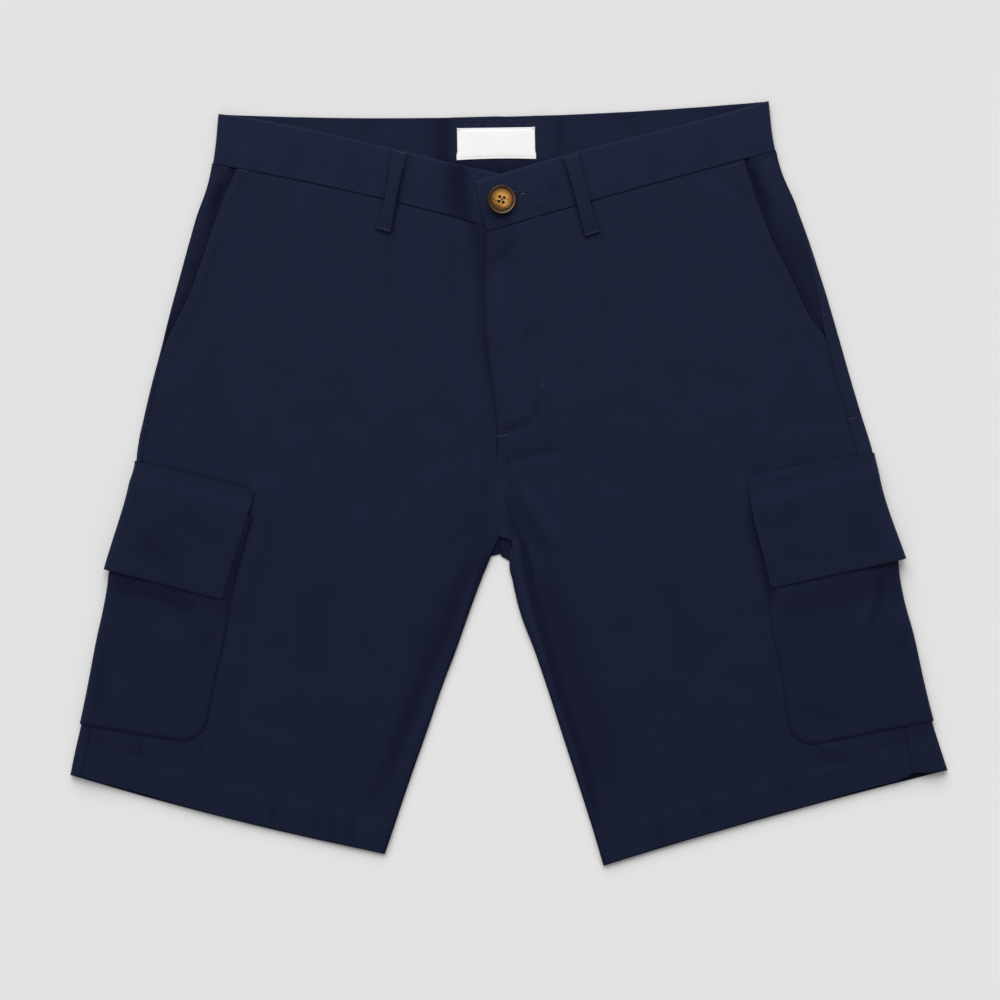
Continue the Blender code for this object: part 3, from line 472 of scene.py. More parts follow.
def quarter_turn(path):
    """Angle round the side fold: 0 at its outermost line, a quarter turn over and below it."""
    return np.clip(path / QUARTER, -1, 1) * math.pi / 2


def soft_floor(value, least):
    """The larger of two heights, with the corner between them rounded."""
    return least + SOFTNESS * np.logaddexp(0.0, (value - least) / SOFTNESS)


def read_smoothly(x, xs, ys):
    """Monotone cubic through a table: harmonic mean slopes, so that it never overshoots."""
    step = np.diff(xs)
    rise = np.diff(ys) / step
    both = rise[1:] * rise[:-1]
    total = np.where(both > 0, rise[1:] + rise[:-1], 1.0)
    slope = np.concatenate([rise[:1], np.where(both > 0, 2 * both / total, 0.0), rise[-1:]])
    i = np.clip(np.searchsorted(xs, x) - 1, 0, len(xs) - 2)
    t = (x - xs[i]) / step[i]
    start = ys[i] + t * step[i] * slope[i]
    end = ys[i + 1] - (1 - t) * step[i] * slope[i + 1]
    return start + ease(t) * (end - start)


def along_line(points, steps):
    """A smooth line through given points: each column read smoothly over the line's length."""
    points = np.asarray(points, float)
    run = np.concatenate([[0.0], np.cumsum(np.linalg.norm(np.diff(points, axis=0), axis=1))])
    places = np.linspace(0, run[-1], steps)
    return np.stack([read_smoothly(places, run, column) for column in points.T], -1)


# A crease fades out over this share of its line. The shoulder beside it lies this far out, and is
# this wide and ends this far out, in half widths of the crease.
FOLD_ENDS = 0.25
SHOULDER_OUT = 2.1
SHOULDER_WIDE = 1.3
SHOULDER_ENDS = 2.2


def fold_height(x, y, folds):
    """Height of the creases at points seen from above. Each crease is a smooth line. A point's
    height is the bell of its distance to the line times minus the depth, plus a wider bell beside
    it, and both fade to nothing over the first and last quarter of the line."""
    total = np.zeros(np.shape(x))
    for fold in folds:
        line = along_line(fold.points, 5 * len(fold.points))
        reach = 4.5 * fold.half_width
        low, high = line.min(0) - reach, line.max(0) + reach
        near = (x > low[0]) & (x < high[0]) & (y > low[1]) & (y < high[1])
        if not near.any():
            continue
        px, py = x[near], y[near]
        nearest, side, share = np.full(px.shape, np.inf), np.zeros(px.shape), np.zeros(px.shape)
        for i, (start, end) in enumerate(zip(line, line[1:])):
            run = end - start
            length = math.sqrt(run @ run)
            t = np.clip(((px - start[0]) * run[0] + (py - start[1]) * run[1]) / length**2, 0, 1)
            off_x = px - start[0] - t * run[0]
            off_y = py - start[1] - t * run[1]
            away = np.hypot(off_x, off_y)
            closer = away < nearest
            nearest = np.where(closer, away, nearest)
            side = np.where(closer, (off_y * run[0] - off_x * run[1]) / length, side)
            share = np.where(closer, (i + t) / (len(line) - 1), share)
        ends = ease(share / FOLD_ENDS) * ease((1 - share) / FOLD_ENDS)
        beside = side - math.copysign(SHOULDER_OUT * fold.half_width, fold.shoulder)
        shoulder = abs(fold.shoulder) * bell(beside / (SHOULDER_WIDE * fold.half_width))
        shoulder = shoulder * ease(2 - nearest / (SHOULDER_ENDS * fold.half_width))
        total[near] += fold.depth * ends * (shoulder - bell(nearest / fold.half_width))
    return total


def wave_height(x, y):
    """Slow unevenness: a sum of waves on places that are themselves bent by other waves."""
    bent_x = x + sum(bend.reach * np.sin(y / bend.run + bend.phase) for bend in BENDS_IN_X)
    bent_y = y + sum(bend.reach * np.sin(x / bend.run + bend.phase) for bend in BENDS_IN_Y)
    total = np.zeros(np.shape(x))
    for wave in WAVES:
        heading = math.radians(wave.heading)
        run = bent_x * math.cos(heading) + bent_y * math.sin(heading)
        total += wave.height * np.sin(2 * math.pi * run / wave.length + wave.phase)
    return total


class Half:
    """One half of the garment: sections read smoothly at any distance down the side."""

    def __init__(self, side, levels, crease, pocket, flap, loop, gapes):
        self.side = side
        self.levels = levels
        self.downs = np.array([level.down for level in levels])
        self.key = {level.name: level.down for level in levels}
        self.hem = levels[-1].down
        self.crease = crease
        self.pocket = pocket
        self.flap = flap
        self.loop = loop
        self.gapes = gapes
        self.turned = side == "left"
        self.fly_lift = float(self.turned)
        self.beyond_pocket = pocket.reach + LIFT_START

    def read(self, column, down):
        """A column of the level table at distances down the side."""
        return read_smoothly(down, self.downs, np.array([getattr(r, column) for r in self.levels]))

    def corner(self, name, down):
        """Where a section folds at the side, or where its front or back ends, seen from above."""
        return np.stack([self.read(name + "_x", down), self.read(name + "_y", down)], -1)

    def length(self, end, down):
        """Length of a section from the side to where its front or back ends."""
        return np.linalg.norm(self.corner(end, down) - self.corner("side", down), axis=-1)

    def step(self, down, start, end):
        """Smooth step from 0 at one level to 1 at another."""
        return ease((down - self.key[start]) / (self.key[end] - self.key[start]))

    def pocket_share(self, down):
        """1 where the cargo pocket lies, with soft ends above and below it."""
        return self.step(down, "flap_top", "pocket_top") * (1 - self.step(down, "pocket_low", "pocket_end"))

    def flap_share(self, down):
        """1 where the flap lies, with soft ends above and below it."""
        return self.step(down, "crotch", "flap_top") * (1 - self.step(down, "flap_low", "flap_end"))

    def slant_share(self, down):
        """1 beside the slant pocket and 0 below it."""
        return fade((down - self.key["mouth_end"]) / MOUTH_CLOSING)

    def leg_share(self, down):
        """0 above the crotch and 1 down the leg."""
        return ease((down - self.key["crotch"]) / CROTCH_FADE)

    def centre_share(self, down):
        """1 on the closed centre seam, between the fly and the crotch."""
        return ease((down - FLY_CLOSED) / CLOSING) * fade((down - self.key["crotch"]) / CENTRE_FADE)

    def base(self, down, across):
        """Height of the back panel's underside: it lies on the pocket and flap below it."""
        plies = self.pocket_share(down) + self.flap_share(down)
        return PLY * plies * fade((across - self.beyond_pocket) / LIFT_FALL)

    def front_edge(self, down):
        """Distance in from the side to the front panel's outer edge: the slant, then the outseam."""
        straight = (MOUTH_INSET - self.fly_lift) * bell((down - MOUTH_STRAIGHT) / MOUTH_REACH)
        slant = self.read("mouth", down) - straight
        return np.where(down < self.key["mouth_end"], slant, self.read("seam", down))

    def top_height(self, down, across, wall, outer):
        """Middle of the front wall above the base: high at the fold, falling to the slack height,
        rolled down on to the back at the inseam, with the crease beside it."""
        flat = CLOTH + self.read("loft", down) - (wall - CLOTH) / 2
        high = outer - wall
        height = high + (flat - high) * ease((across - FOLD_REACH) / FOLD_FALL)
        from_inner = self.length("front", down) - across
        leg = self.leg_share(down)
        height = height + (PLY - height) * (1 - self.rolled(from_inner)) * leg
        return np.maximum(height + leg * self.crease_height(down, from_inner), PLY)

    def rolled(self, from_inner):
        """0 at the inseam, rising to 1 away from it as a quarter of a parabola."""
        return 1 - (1 - np.clip(from_inner / INSEAM_ROLL, 0, 1)) ** 2

    def crease_height(self, down, from_inner):
        """The crease beside the inseam: a dip with a soft ridge between it and the seam."""
        crease = self.crease
        along = np.clip((down - crease.starts) / (crease.ends - crease.starts), 0, 1)
        middle = crease.top_in + (crease.hem_in - crease.top_in) * along
        dip = bell((from_inner - middle) / crease.half_width)
        ridge = bell((from_inner - middle / 2) / crease.half_width) * self.rolled(from_inner)
        return crease.depth * np.sin(np.pi * along) ** 0.4 * (ridge - dip)

    def fly_height(self, down, across, wall):
        """Lift of the fly's facing, and of the waistband's lapped end, over the other front."""
        from_edge = self.length("front", down) + self.read("lap", down) - across
        if wall == BAND:
            lapped = fade((from_edge - BAND_LAP_NEAR) / (BAND_LAP_FAR - BAND_LAP_NEAR))
            return self.fly_lift * BAND_LAP_LIFT * lapped
        fly = fade((from_edge - FLY_WIDTH) / FLY_SLOPE)
        return self.fly_lift * FLY_LIFT * fly * fade((down - FLY_CLOSED) / FLY_FADE)

    def mouth_height(self, down, across):
        """Lift of the slant pocket's edge where the mouth stands open."""
        from_edge = across - self.front_edge(down)
        open_part = np.sin(np.pi * np.clip(down / self.key["mouth_end"], 0, 1)) ** 2
        return MOUTH_GAPE * open_part * fade(from_edge / MOUTH_FALL)

    def profile(self, down, path, wall):
        """Distance in from the side and height of the wall's middle. Path is 0 at the fold's
        outermost line, positive over the top and negative on the floor side."""
        outer = BAND_FOLD_HEIGHT if wall == BAND else FOLD_HEIGHT
        turn = quarter_turn(path)
        beyond = np.maximum(np.abs(path) - QUARTER, 0)
        across = wall / 2 + FOLD_REACH * (1 - np.cos(turn)) + beyond
        rolled = (outer - wall) / 2 * (1 + np.sin(turn))
        over = self.top_height(down, across, wall, outer) + self.fly_height(down, across, wall)
        height = np.where(path > QUARTER, over, rolled)
        return across, height + wall / 2 + self.base(down, across)

    def path_at(self, across, wall=CLOTH):
        """Path position over the top for a distance in from the side."""
        curved = np.clip(1 - (across - wall / 2) / FOLD_REACH, -1, 1)
        return np.where(
            across < wall / 2 + FOLD_REACH,
            np.arccos(curved) / (math.pi / 2) * QUARTER,
            across - wall / 2 - FOLD_REACH + QUARTER,
        )

    def inner_path(self, down):
        """Path position of the front panel's inner edge: the fly's edge, or the front inseam."""
        under = self.centre_share(down) * (FELL_UNDER - (FELL_UNDER - FELL_OVER) * self.fly_lift)
        return self.path_at(self.length("front", down) + self.read("lap", down) - GAP / 2 + under)

    def outer_path(self, down):
        """Path position of the front panel's outer edge: the slant pocket's mouth, or the outseam."""
        closer = OUTSEAM_OVERLAP * (1 - self.slant_share(down))
        return self.path_at(self.front_edge(down)) + GAP / 2 - closer

    def seam_path(self, down):
        """Path position of the outseam."""
        return self.path_at(self.read("seam", down))

    def hem_gape(self, path):
        """How much shorter than the back the front hangs at its hem, along the section."""
        return sum(gape.depth * bell((path - gape.middle) / gape.half_width) for gape in self.gapes)

    def skin(self, down, path, out=0.0, wall=CLOTH, rise=0.0, folds=TOP_FOLDS):
        """The outer face of a wall of cloth, a distance out from the leg's own wall. Its place comes
        from the section, and the creases and slow waves are added to its height, which never comes
        nearer to the ply below than the walls allow. They fade out towards the side fold."""
        out = out + wall / 2
        across, height = self.profile(down, path, wall)
        before = self.profile(down, path - SLOPE_STEP, wall)
        after = self.profile(down, path + SLOPE_STEP, wall)
        run_in, run_up = after[0] - before[0], after[1] - before[1]
        size = np.hypot(run_in, run_up)
        least = self.base(down, across) + wall / 2 + PLY + out
        across = across - out * run_up / size
        height = height + out * run_in / size + rise
        top = ease((path / QUARTER + 1) / 2)
        side = self.corner("side", down)
        front, back = self.corner("front", down) - side, self.corner("back", down) - side
        front_length = np.linalg.norm(front, axis=-1)
        back_length = np.linalg.norm(back, axis=-1)
        back_unit = back / back_length[..., None]
        unit = back_unit + (front / front_length[..., None] - back_unit) * top[..., None]
        share = np.clip(across / (back_length + (front_length - back_length) * top), 0, 1)
        lean = 1 + self.read("lean", down) * (1 - 2 * share)
        bow = self.read("bow", down) * lean * top + self.read("back_bow", down) * (1 - top)
        plan = side + unit * across[..., None]
        x, y = plan[..., 0], plan[..., 1] + 4 * bow * share * (1 - share)
        shown = bpy.context.scene.shorts_cloth.crease_depth * ease((path - CREASED_FROM) / CREASED_FULLY)
        relief = shown * (fold_height(x, y, folds) + wave_height(x, y))
        height = np.where(path > QUARTER, soft_floor(height + relief, least), height)
        return np.stack([x, y, height], -1)


RIGHT = Half(
    "right", WEARERS_RIGHT, RIGHT_LEG_CREASE, RIGHT_POCKET, RIGHT_FLAP, RIGHT_LOOP, RIGHT_GAPES
)
LEFT = Half("left", WEARERS_LEFT, LEFT_LEG_CREASE, LEFT_POCKET, LEFT_FLAP, LEFT_LOOP, LEFT_GAPES)
HALVES = (RIGHT, LEFT)


# Where a front is thicker or sunk: its turned-up hem, its turned edges, and its seams
HEM_DEPTH = 25.0
HEM_PLY = 0.75
TURNED_WIDTH = 8.0
TURNED_PLY = 0.35
FLY_TURNED_WIDTH = 4.0
FLY_TURNED_PLY = 0.40
EDGE_ROLL = 1.4
EDGE_DROP = 0.45
SEAM_SINK = 0.32
SEAM_REACH = 1.1

# How far joined edges run into each other
JOIN = 0.12

# The felled centre seam: how high it stands, its width, the first of its two sewn lines, their
# height and half width, and how soon it ends below the crotch
FELL = 0.30
FELL_WIDTH = 4.6
FELL_FIRST = 0.9
FELL_ROW_RISE = 0.12
FELL_ROW_WIDTH = 0.8
FELL_FADE = 6.0

# The waistband's front: rounding of its upper edge, fullness of its middle, how far it stands over
# the fronts, and how far above the seam it starts to come down to them
BAND_ROLL = 2.0
BAND_DROP = 0.9
BAND_FULLNESS = 0.25
BAND_STEP = 0.42
BAND_SEWN = 9.0

# How far the backs rise off the floor to meet the waistband, and over what length
WAIST_RISE = 1.3
WAIST_RISE_FADE = 16.0

# Distances in from an edge where a grid is closer
NEAR_EDGE = (0.0, 0.8, 1.8, 3.0, 4.4, 6.0, 7.6, 9.4)
NEAR_INSEAM = tuple(np.arange(0.0, 44.0, 1.3))
NEAR_SEAM = (0.0, 0.8, 1.8, 3.2)
NEAR_END = (0.0, 0.6, 1.2)

# On the slant pockets' facings, seen from above
FACING_FOLDS = (
    Fold(((-216, 231), (-221, 217), (-229, 201)), 4.5, 0.85, -0.4),
    Fold(((-231, 184), (-234, 175), (-237, 166)), 3.2, -0.45),
    Fold(((-240, 162), (-243, 153), (-246, 143)), 3.2, -0.40),
    Fold(((-208, 238), (-212, 226), (-220, 208)), 3.0, -0.20),
    Fold(((181, 242), (188, 224), (200, 201)), 5.0, 0.80, 0.4),
    Fold(((190, 243), (197, 241), (205, 239)), 4.0, -0.30),
    Fold(((206, 196), (214, 176), (222, 156)), 5.0, 0.26, 0.4),
    Fold(((-232, 190), (-238, 168), (-246, 146)), 5.0, 0.24, -0.4),
)

# On the backs, seen from above: painted shade at the crotch, where the back lies in shadow between
# the fronts, laid out as a crease that shapes no surface
CROTCH_PAINTED_SHADE = (Fold(((-14, -34), (-9, -44), (-2, -52), (6, -62), (14, -74)), 9.0, 0.75),)

# The back waistband rises a little off the floor between its two ends in x
BACK_BAND_LIFT = 0.75
BACK_BAND_FADE = 16.0
BACK_BAND_RIGHT = -219.6
BACK_BAND_LEFT = 196.4
BACK_BAND_FOLDS = (
    Fold(((-51, 300), (-49.5, 268), (-51, 230)), 8.0, 1.25, -0.2),
    Fold(((-66, 300), (-67, 268), (-70, 240)), 9.0, 0.40),
    Fold(((39, 292), (39, 266), (41, 240)), 5.0, 0.60, -0.2),
    Fold(((21, 300), (20.8, 266), (20.6, 236)), 2.6, -0.60),
    Fold(((-41.8, 300), (-41.6, 266), (-41.4, 236)), 2.6, -0.60),
    Fold(((92, 290), (94, 274), (97, 258)), 9.0, 0.36, 0.4),
    Fold(((150, 294), (152, 280), (154, 268)), 8.0, 0.30, -0.4),
    Fold(((-104, 288), (-106, 272), (-110, 258)), 8.0, 0.34, 0.4),
    Fold(((-164, 288), (-166, 274), (-170, 262)), 8.0, 0.28, 0.4),
)


def spread(first, last, step, near_first, near_last=(0.0,)):
    """Columns from a first edge to a last one, a row for each pair: given distances in from each
    edge, and between those even ones that are no further apart than the step."""
    first, last = np.atleast_1d(first), np.atleast_1d(last)
    heading = 1.0 if last[0] >= first[0] else -1.0
    start = first[:, None] + heading * np.array(near_first)[None, :]
    end = last[:, None] - heading * np.array(near_last)[None, ::-1]
    gap = end[:, :1] - start[:, -1:]
    spans = max(math.ceil(np.abs(gap).max() / step), 1)
    share = np.linspace(0, 1, spans + 1)[None, 1:-1]
    return np.concatenate([start, start[:, -1:] + gap * share, end], axis=1)


def grid_faces(rows, columns, turned):
    """Quads between neighbouring points of a grid, wound to face outwards."""
    corner = np.arange(rows - 1)[:, None] * columns + np.arange(columns - 1)[None, :]
    quads = np.stack([corner, corner + columns, corner + columns + 1, corner + 1], -1).reshape(-1, 4)
    return quads[:, ::-1] if turned else quads


def add_mesh(name, points, faces, finish, slot, uv=None, **attributes):
    """A smooth mesh at the origin from points in millimetres, with a UV map in metres and one
    number for each point in each named attribute. It rides on the shorts."""
    mesh = bpy.data.meshes.new(name)
    mesh.from_pydata(points.reshape(-1, 3) * MM, [], faces)
    mesh.shade_smooth()
    if uv is not None:
        layer = mesh.uv_layers.new(name="cloth")
        layer.data.foreach_set("uv", (uv.reshape(-1, 2)[faces.ravel()] * MM).ravel())
    for key, values in attributes.items():
        made = mesh.attributes.new(key, "FLOAT", "POINT")
        made.data.foreach_set("value", np.ascontiguousarray(values, dtype=np.float32).ravel())
    mesh.materials.append(finish)
    obj = bpy.data.objects.new(name, mesh)
    bpy.context.scene.collection.objects.link(obj)
    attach(obj, "root")
    return obj


def add_wall(obj, wall, round_off=0.0):
    """Gives a surface its wall, inwards from its outer face, and rounds the wall's rim."""
    solid = obj.modifiers.new("wall", "SOLIDIFY")
    solid.thickness = wall
    solid.offset = -1.0
    solid.use_even_offset = False
    if round_off:
        rim = obj.modifiers.new("rim", "BEVEL")
        rim.width = round_off
        rim.segments = 2
        rim.limit_method = "ANGLE"
        rim.angle_limit = math.radians(50)
    return obj


def cloth_piece(
    name, node, down, path, points, wall, finish, turned, rests_on,
    slot="navy_twill", round_off=0.0, folds=(), relief=0.0, **facts,
):
    """A piece of cloth on a grid of lengths down and along: shell, wall and rim. It holds
    the height of its creases at each point, with the painted shade and highlight beside its seams and
    edges added, and its material paints shade in the hollows and light on the ridges from it."""
    rows, columns = down.shape
    relief = relief + fold_height(points[..., 0], points[..., 1], folds)
    facts["relief"] = np.broadcast_to(relief, down.shape)
    uv = np.stack([path, down], -1)
    obj = add_mesh(name, points, grid_faces(rows, columns, turned), finish, slot, uv, **facts)
    add_wall(obj, wall, round_off)
    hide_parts(node)
    return obj


def turned_height(distance, width=TURNED_WIDTH, ply=TURNED_PLY):
    """A turned edge seen from above: a ply thicker as far as it is turned under, and rounded down
    in its last stretch as the square of what is left of it."""
    rolled = EDGE_DROP * np.square(np.clip(1 - distance / EDGE_ROLL, 0, 1))
    return ply * fade((distance - width + 1.5) / 3.0) - rolled


def front_skin(half, down, path):
    """Outer face of a front: the leg's own skin, opened at the slant pocket, a ply thicker at its
    slant edge, fly edge and hem, and sunk into the waist, side and centre seams."""
    across, _ = half.profile(down, path, CLOTH)
    from_outer = path - half.outer_path(down)
    from_inner = half.inner_path(down) - path
    slant = half.slant_share(down)
    closed = ease((down - FLY_CLOSED) / CLOSING)
    fly = half.fly_lift * (1 - closed)
    rise = half.mouth_height(down, across) + slant * turned_height(from_outer)
    rise = rise + fly * turned_height(from_inner, FLY_TURNED_WIDTH, FLY_TURNED_PLY)
    rise = rise + turned_height(half.hem - down, HEM_DEPTH, HEM_PLY)
    rise = rise - SEAM_SINK * bell(down / SEAM_REACH)
    rise = rise - SEAM_SINK * (1 - slant) * bell(from_outer / SEAM_REACH)
    fell = half.fly_lift * closed * fade((down - half.key["crotch"]) / FELL_FADE)
    ridge = ease(from_inner) * fade((from_inner - FELL_WIDTH) / 1.2)
    rise = rise + fell * (FELL * ridge + FELL_ROW_RISE * fell_rows(from_inner))
    return half.skin(down, path, rise=rise)


def fell_rows(from_inner):
    """1 on the two sewn lines of the felled centre seam, falling off beside them."""
    return sum(bell((from_inner - row) / FELL_ROW_WIDTH) for row in (FELL_FIRST, FELL_WIDTH))


def back_skin(half, down, path):
    """Outer face of a back: the section's own skin round the fold, sunk into the side seam and
    thicker over the hem, as far as it faces up."""
    up = ease(path / QUARTER)
    rise = -0.6 * SEAM_SINK * up * bell((half.seam_path(down) + JOIN - path) / SEAM_REACH)
    rise = rise + up * turned_height(half.hem - down, HEM_DEPTH, HEM_PLY)
    rise = rise + floor_side(path) * WAIST_RISE * fade(down / WAIST_RISE_FADE)
    return half.skin(down, path, rise=rise)


def floor_side(path):
    """1 on the floor side of a section, from beyond the side fold."""
    return ease(-path / QUARTER - 1)


def facing_skin(half, down, path):
    """Outer face of the strip seen in the slant pocket: level with the fold, then tucked under
    the front."""
    mouth = half.path_at(half.front_edge(down))
    sunk = ease((path - mouth + FACING_BEND) / (FACING_BEND - 2))
    return half.skin(down, path, out=-FACING_DEPTH * sunk, folds=(*TOP_FOLDS, *FACING_FOLDS))


def loop_line(size, down):
    """A belt loop's middle, as distance in from the side, and its half width, at distances down:
    its sewn ends are wider than its middle."""
    share = np.clip((down - size.starts) / (size.ends - size.starts), 0, 1)
    middle = size.top_in + (size.foot_in - size.top_in) * share + size.bend * np.sin(np.pi * share)
    return middle, size.width / 2 * (size.waist + (LOOP_SPREAD - size.waist) * np.square(2 * share - 1))


def beside_loop(half, down, path, wall):
    """1 along both sides of a half's belt loop, falling off away from them."""
    size = half.loop
    across, _ = half.profile(down, path, wall)
    middle, half_width = loop_line(size, down)
    within = ease((down - size.starts + 2) / 3) * ease((size.ends - down + 3) / 3) * ease(path / QUARTER)
    side = across - middle
    reach = np.where(side > 0, *LOOP_SHADE_REACH)
    return within * bell((np.abs(side) - half_width - 0.4) / reach)


def back_band_lift(x, y):
    """How far the back waistband rises off the floor between the side folds."""
    from_fold = np.minimum(x - BACK_BAND_RIGHT, BACK_BAND_LEFT - x)
    height = BACK_BAND_LIFT + fold_height(x, y, BACK_BAND_FOLDS) + wave_height(x, y)
    return ease(from_fold / BACK_BAND_FADE - 1) * soft_floor(height, 0.0)


def band_skin(half, down, path):
    """Outer face of the waistband: the section's skin at the band's wall, a little fuller along
    its middle, and on the floor side lifted where the back waistband rises."""
    top = half.key["band_top"]
    over = ease(path / QUARTER)
    middle = np.sin(np.pi * np.clip(down / top, 0, 1))
    roll = np.square(np.clip(1 - (down - top) / BAND_ROLL, 0, 1))
    rise = over * (BAND_FULLNESS * middle - BAND_DROP * roll)
    points = half.skin(down, path, wall=BAND, rise=rise, folds=BAND_FOLDS)
    sewn = front_skin(half, np.full(np.shape(down), 4.0), path)[..., 2] + BAND_STEP
    points[..., 2] += over * ease(1 + down / BAND_SEWN) * (sewn - points[..., 2])
    under = ease((-path - QUARTER) / BACK_BAND_FADE)
    points[..., 2] += under * back_band_lift(points[..., 0], points[..., 1])
    return points


def round_corner(distance, radius):
    """How much an edge is shortened at a distance from a corner rounded to a radius."""
    inside = np.clip(1 - distance / radius, 0, 1)
    return radius * (1 - np.sqrt(1 - inside**2))


class PatchShape:
    """A cargo pocket or flap, wrapped evenly round the outseam on the leg's own skin."""

    def __init__(self, half, patch, plies, folds):
        seam = float(half.seam_path(half.key["flap_low"]))
        self.half = half
        self.turned = half.turned
        self.patch = patch
        self.plies = plies
        self.folds = (*TOP_FOLDS, *folds)
        self.front = seam + patch.reach
        self.back = seam - patch.reach
        self.starts = half.key[patch.starts]
        self.steady = half.key[patch.steady]
        self.ends = half.key[patch.ends]

    def top(self, path):
        """Upper edge, climbing towards the front."""
        forward = np.clip(path / self.front, 0, 1)
        return self.starts - self.patch.top_climb * (1 - (1 - forward) ** 2)

    def plain_bottom(self, path):
        """Lower edge before its front corner is rounded."""
        return self.ends - self.patch.low_climb * np.clip(path / self.front, 0, 1)

    def bottom(self, path):
        """Lower edge."""
        return self.plain_bottom(path) - round_corner(self.front - path, self.patch.corner)

    def edge_distance(self, down, path):
        """Distance in from the nearest edge. Near the rounded corner it is the radius less the
        distance from the corner's middle."""
        radius = self.patch.corner
        forward = self.front - path
        below = self.plain_bottom(path) - down
        corner = radius - np.hypot(np.maximum(radius - forward, 0), np.maximum(radius - below, 0))
        nearest = np.where((forward < radius) & (below < radius), corner, np.minimum(forward, below))
        return np.minimum(np.minimum(nearest, path - self.back), down - self.top(path))

    def shift(self, down):
        """How far the front edge lies further out, along its length."""
        share = np.clip((down - self.starts) / (self.ends - self.starts), 0, 1)
        return self.patch.top_out + (self.patch.low_out - self.patch.top_out) * share

    def beside(self, down, path, shade):
        """A shade's depth on the leg just beyond the front edge, falling off away from it."""
        within = 0.4 * ease((down - self.starts + 2) / 6) + 0.6 * ease((down - self.starts) / 30)
        within = within * fade((down - self.ends + 4) / 10)
        past = path - self.front - self.shift(down) - 0.3 * shade.reach
        return shade.depth * within * bell(past / shade.reach)

    def above(self, down, path):
        """1 on the leg just above the upper edge, falling off away from it."""
        clear = down - self.top(path)
        return ease((self.front - path) / 2) * (bell((clear + 0.6) / 1.2) + 0.45 * bell((clear + 5) / 5))

    def skin(self, down, path):
        """Outer face: the leg's skin moved out by the plies below it and by the flare of its lower
        edge, with its own creases and turned edges."""
        lower = np.clip((down - self.steady) / (self.bottom(path) - self.steady), 0, 1)
        up = ease(path / QUARTER)
        along = ease(path / QUARTER + 0.7) * fade((path - QUARTER) / FLARE_FALL)
        flare = self.patch.flare * along * (1 - FLARE_PRESSED * up) * lower**2
        edge = self.edge_distance(down, path)
        rise = up * (turned_height(edge) - self.patch.pressed * fade(edge / EDGE_ROW))
        out = PLY * self.plies(down) + flare - SETTLED * up * (self.plies(down) - 1)
        on_leg = path + self.shift(down) * ease(path / self.front)
        return self.half.skin(down, on_leg, out=out, rise=rise, folds=self.folds)

    def grid(self, step, floor_step):
        """Lengths down and along for its points: columns from the back edge round the fold to the
        front one, and in each column rows from the upper edge to the lower."""
        under = spread(self.back, -QUARTER, floor_step, NEAR_SEAM)
        fold = np.linspace(-QUARTER, QUARTER, 13)[None, 1:-1]
        over = spread(QUARTER, self.front, step, (0.0,), NEAR_EDGE)
        columns = np.concatenate([under, fold, over], axis=1)[0]
        height = self.ends - self.starts
        near = np.array(NEAR_EDGE) / height
        share = spread(0.0, 1.0, step / height, near, near)[0]
        top, bottom = self.top(columns), self.bottom(columns)
        down = top[None, :] + (bottom - top)[None, :] * share[:, None]
        return down, np.broadcast_to(columns, down.shape)

    def seam_line(self, offset, top_gap):
        """A line sewn in from the front, lower and back edges by an offset, round the corner."""
        radius = self.patch.corner
        inner = max(radius - offset, 0.4)
        shift = offset - (radius - inner)
        turn = np.linspace(0, math.pi / 2, 13)[1:]
        front, back = self.front - offset, self.back + offset
        corner_path = self.front - radius
        corner_down = self.plain_bottom(corner_path) - radius
        first = np.linspace(self.top(front) + top_gap, corner_down - shift, 40)
        along = np.linspace(corner_path - shift, back, 120)[1:]
        last = np.linspace(self.plain_bottom(back) - offset, self.top(self.back) + top_gap, 40)[1:]
        round_down = corner_down + inner * np.sin(turn) - shift
        round_path = corner_path + inner * np.cos(turn) - shift
        down = np.concatenate([first, round_down, self.plain_bottom(along) - offset, last])
        path = np.concatenate([np.full(40, front), round_path, along, np.full(39, back)])
        return down, path


def pocket_shape(half):
    """The cargo pocket lies one ply out from the leg."""
    return PatchShape(half, half.pocket, np.ones_like, POCKET_FOLDS)


def flap_shape(half):
    """The flap lies one ply out where it is sewn, and two where it covers the pocket."""
    return PatchShape(half, half.flap, lambda down: 1 + half.pocket_share(down), FLAP_FOLDS)


# Painted shade and painted highlight beside seams, edges and covers, where shadows fall and light
# catches, in millimetres of hollow, and how far that reaches. Beside the inseam the least holds for the
# wearer's left, and more is added on the wearer's right as far down as where it fades. The hip facing's
# painted shade is all over it, lessened away from its pocket's edge near the waist, and deepened beside
# that edge: for the wearer's right, and what the left adds.
Shade = namedtuple("Shade", "depth reach", defaults=(1.0,))
InseamShade = namedtuple("InseamShade", "least more fades over")
INSEAM_DEPTH = InseamShade(0.8, 1.6, 240.0, 90.0)
INSEAM_WIDTH = InseamShade(1.8, 1.8, 235.0, 60.0)
WAIST_SHADE = Shade(0.45, 1.6)
OUTSEAM_SHADE = Shade(0.8, 1.5)
FELL_ROW_HIGHLIGHT = 0.9
LOOP_SHADE = 0.9
BY_FLAP_SHADE = Shade(1.15, 4.0)
BY_POCKET_SHADE = Shade(0.4, 1.2)
OVER_FLAP_SHADE = 0.9
UNDER_FLAP_SHADE = Shade(1.3, 4.0)
FLAP_TOP_SHADE = Shade(1.2, 1.1)
FLOOR_SHADE = 1.3
FACING_SHADES = np.array([(0.70, 0.15), (-0.40, -0.20), (1.5, -0.3)])
BACK_BAND_SHADE = 0.30
BACK_BAND_SEAM_SHADE = 0.8
BAND_RIM_HIGHLIGHT = Shade(0.5, 1.3)
BAND_SEAM_SHADE = Shade(0.35, 1.4)

# Over what length a hem takes up its gape
GAPE_REACH = 40.0

# Rounding of rims, in metres
PATCH_RIM = 0.00035
BAND_RIM = 0.0004
LABEL_RIM = 0.00018

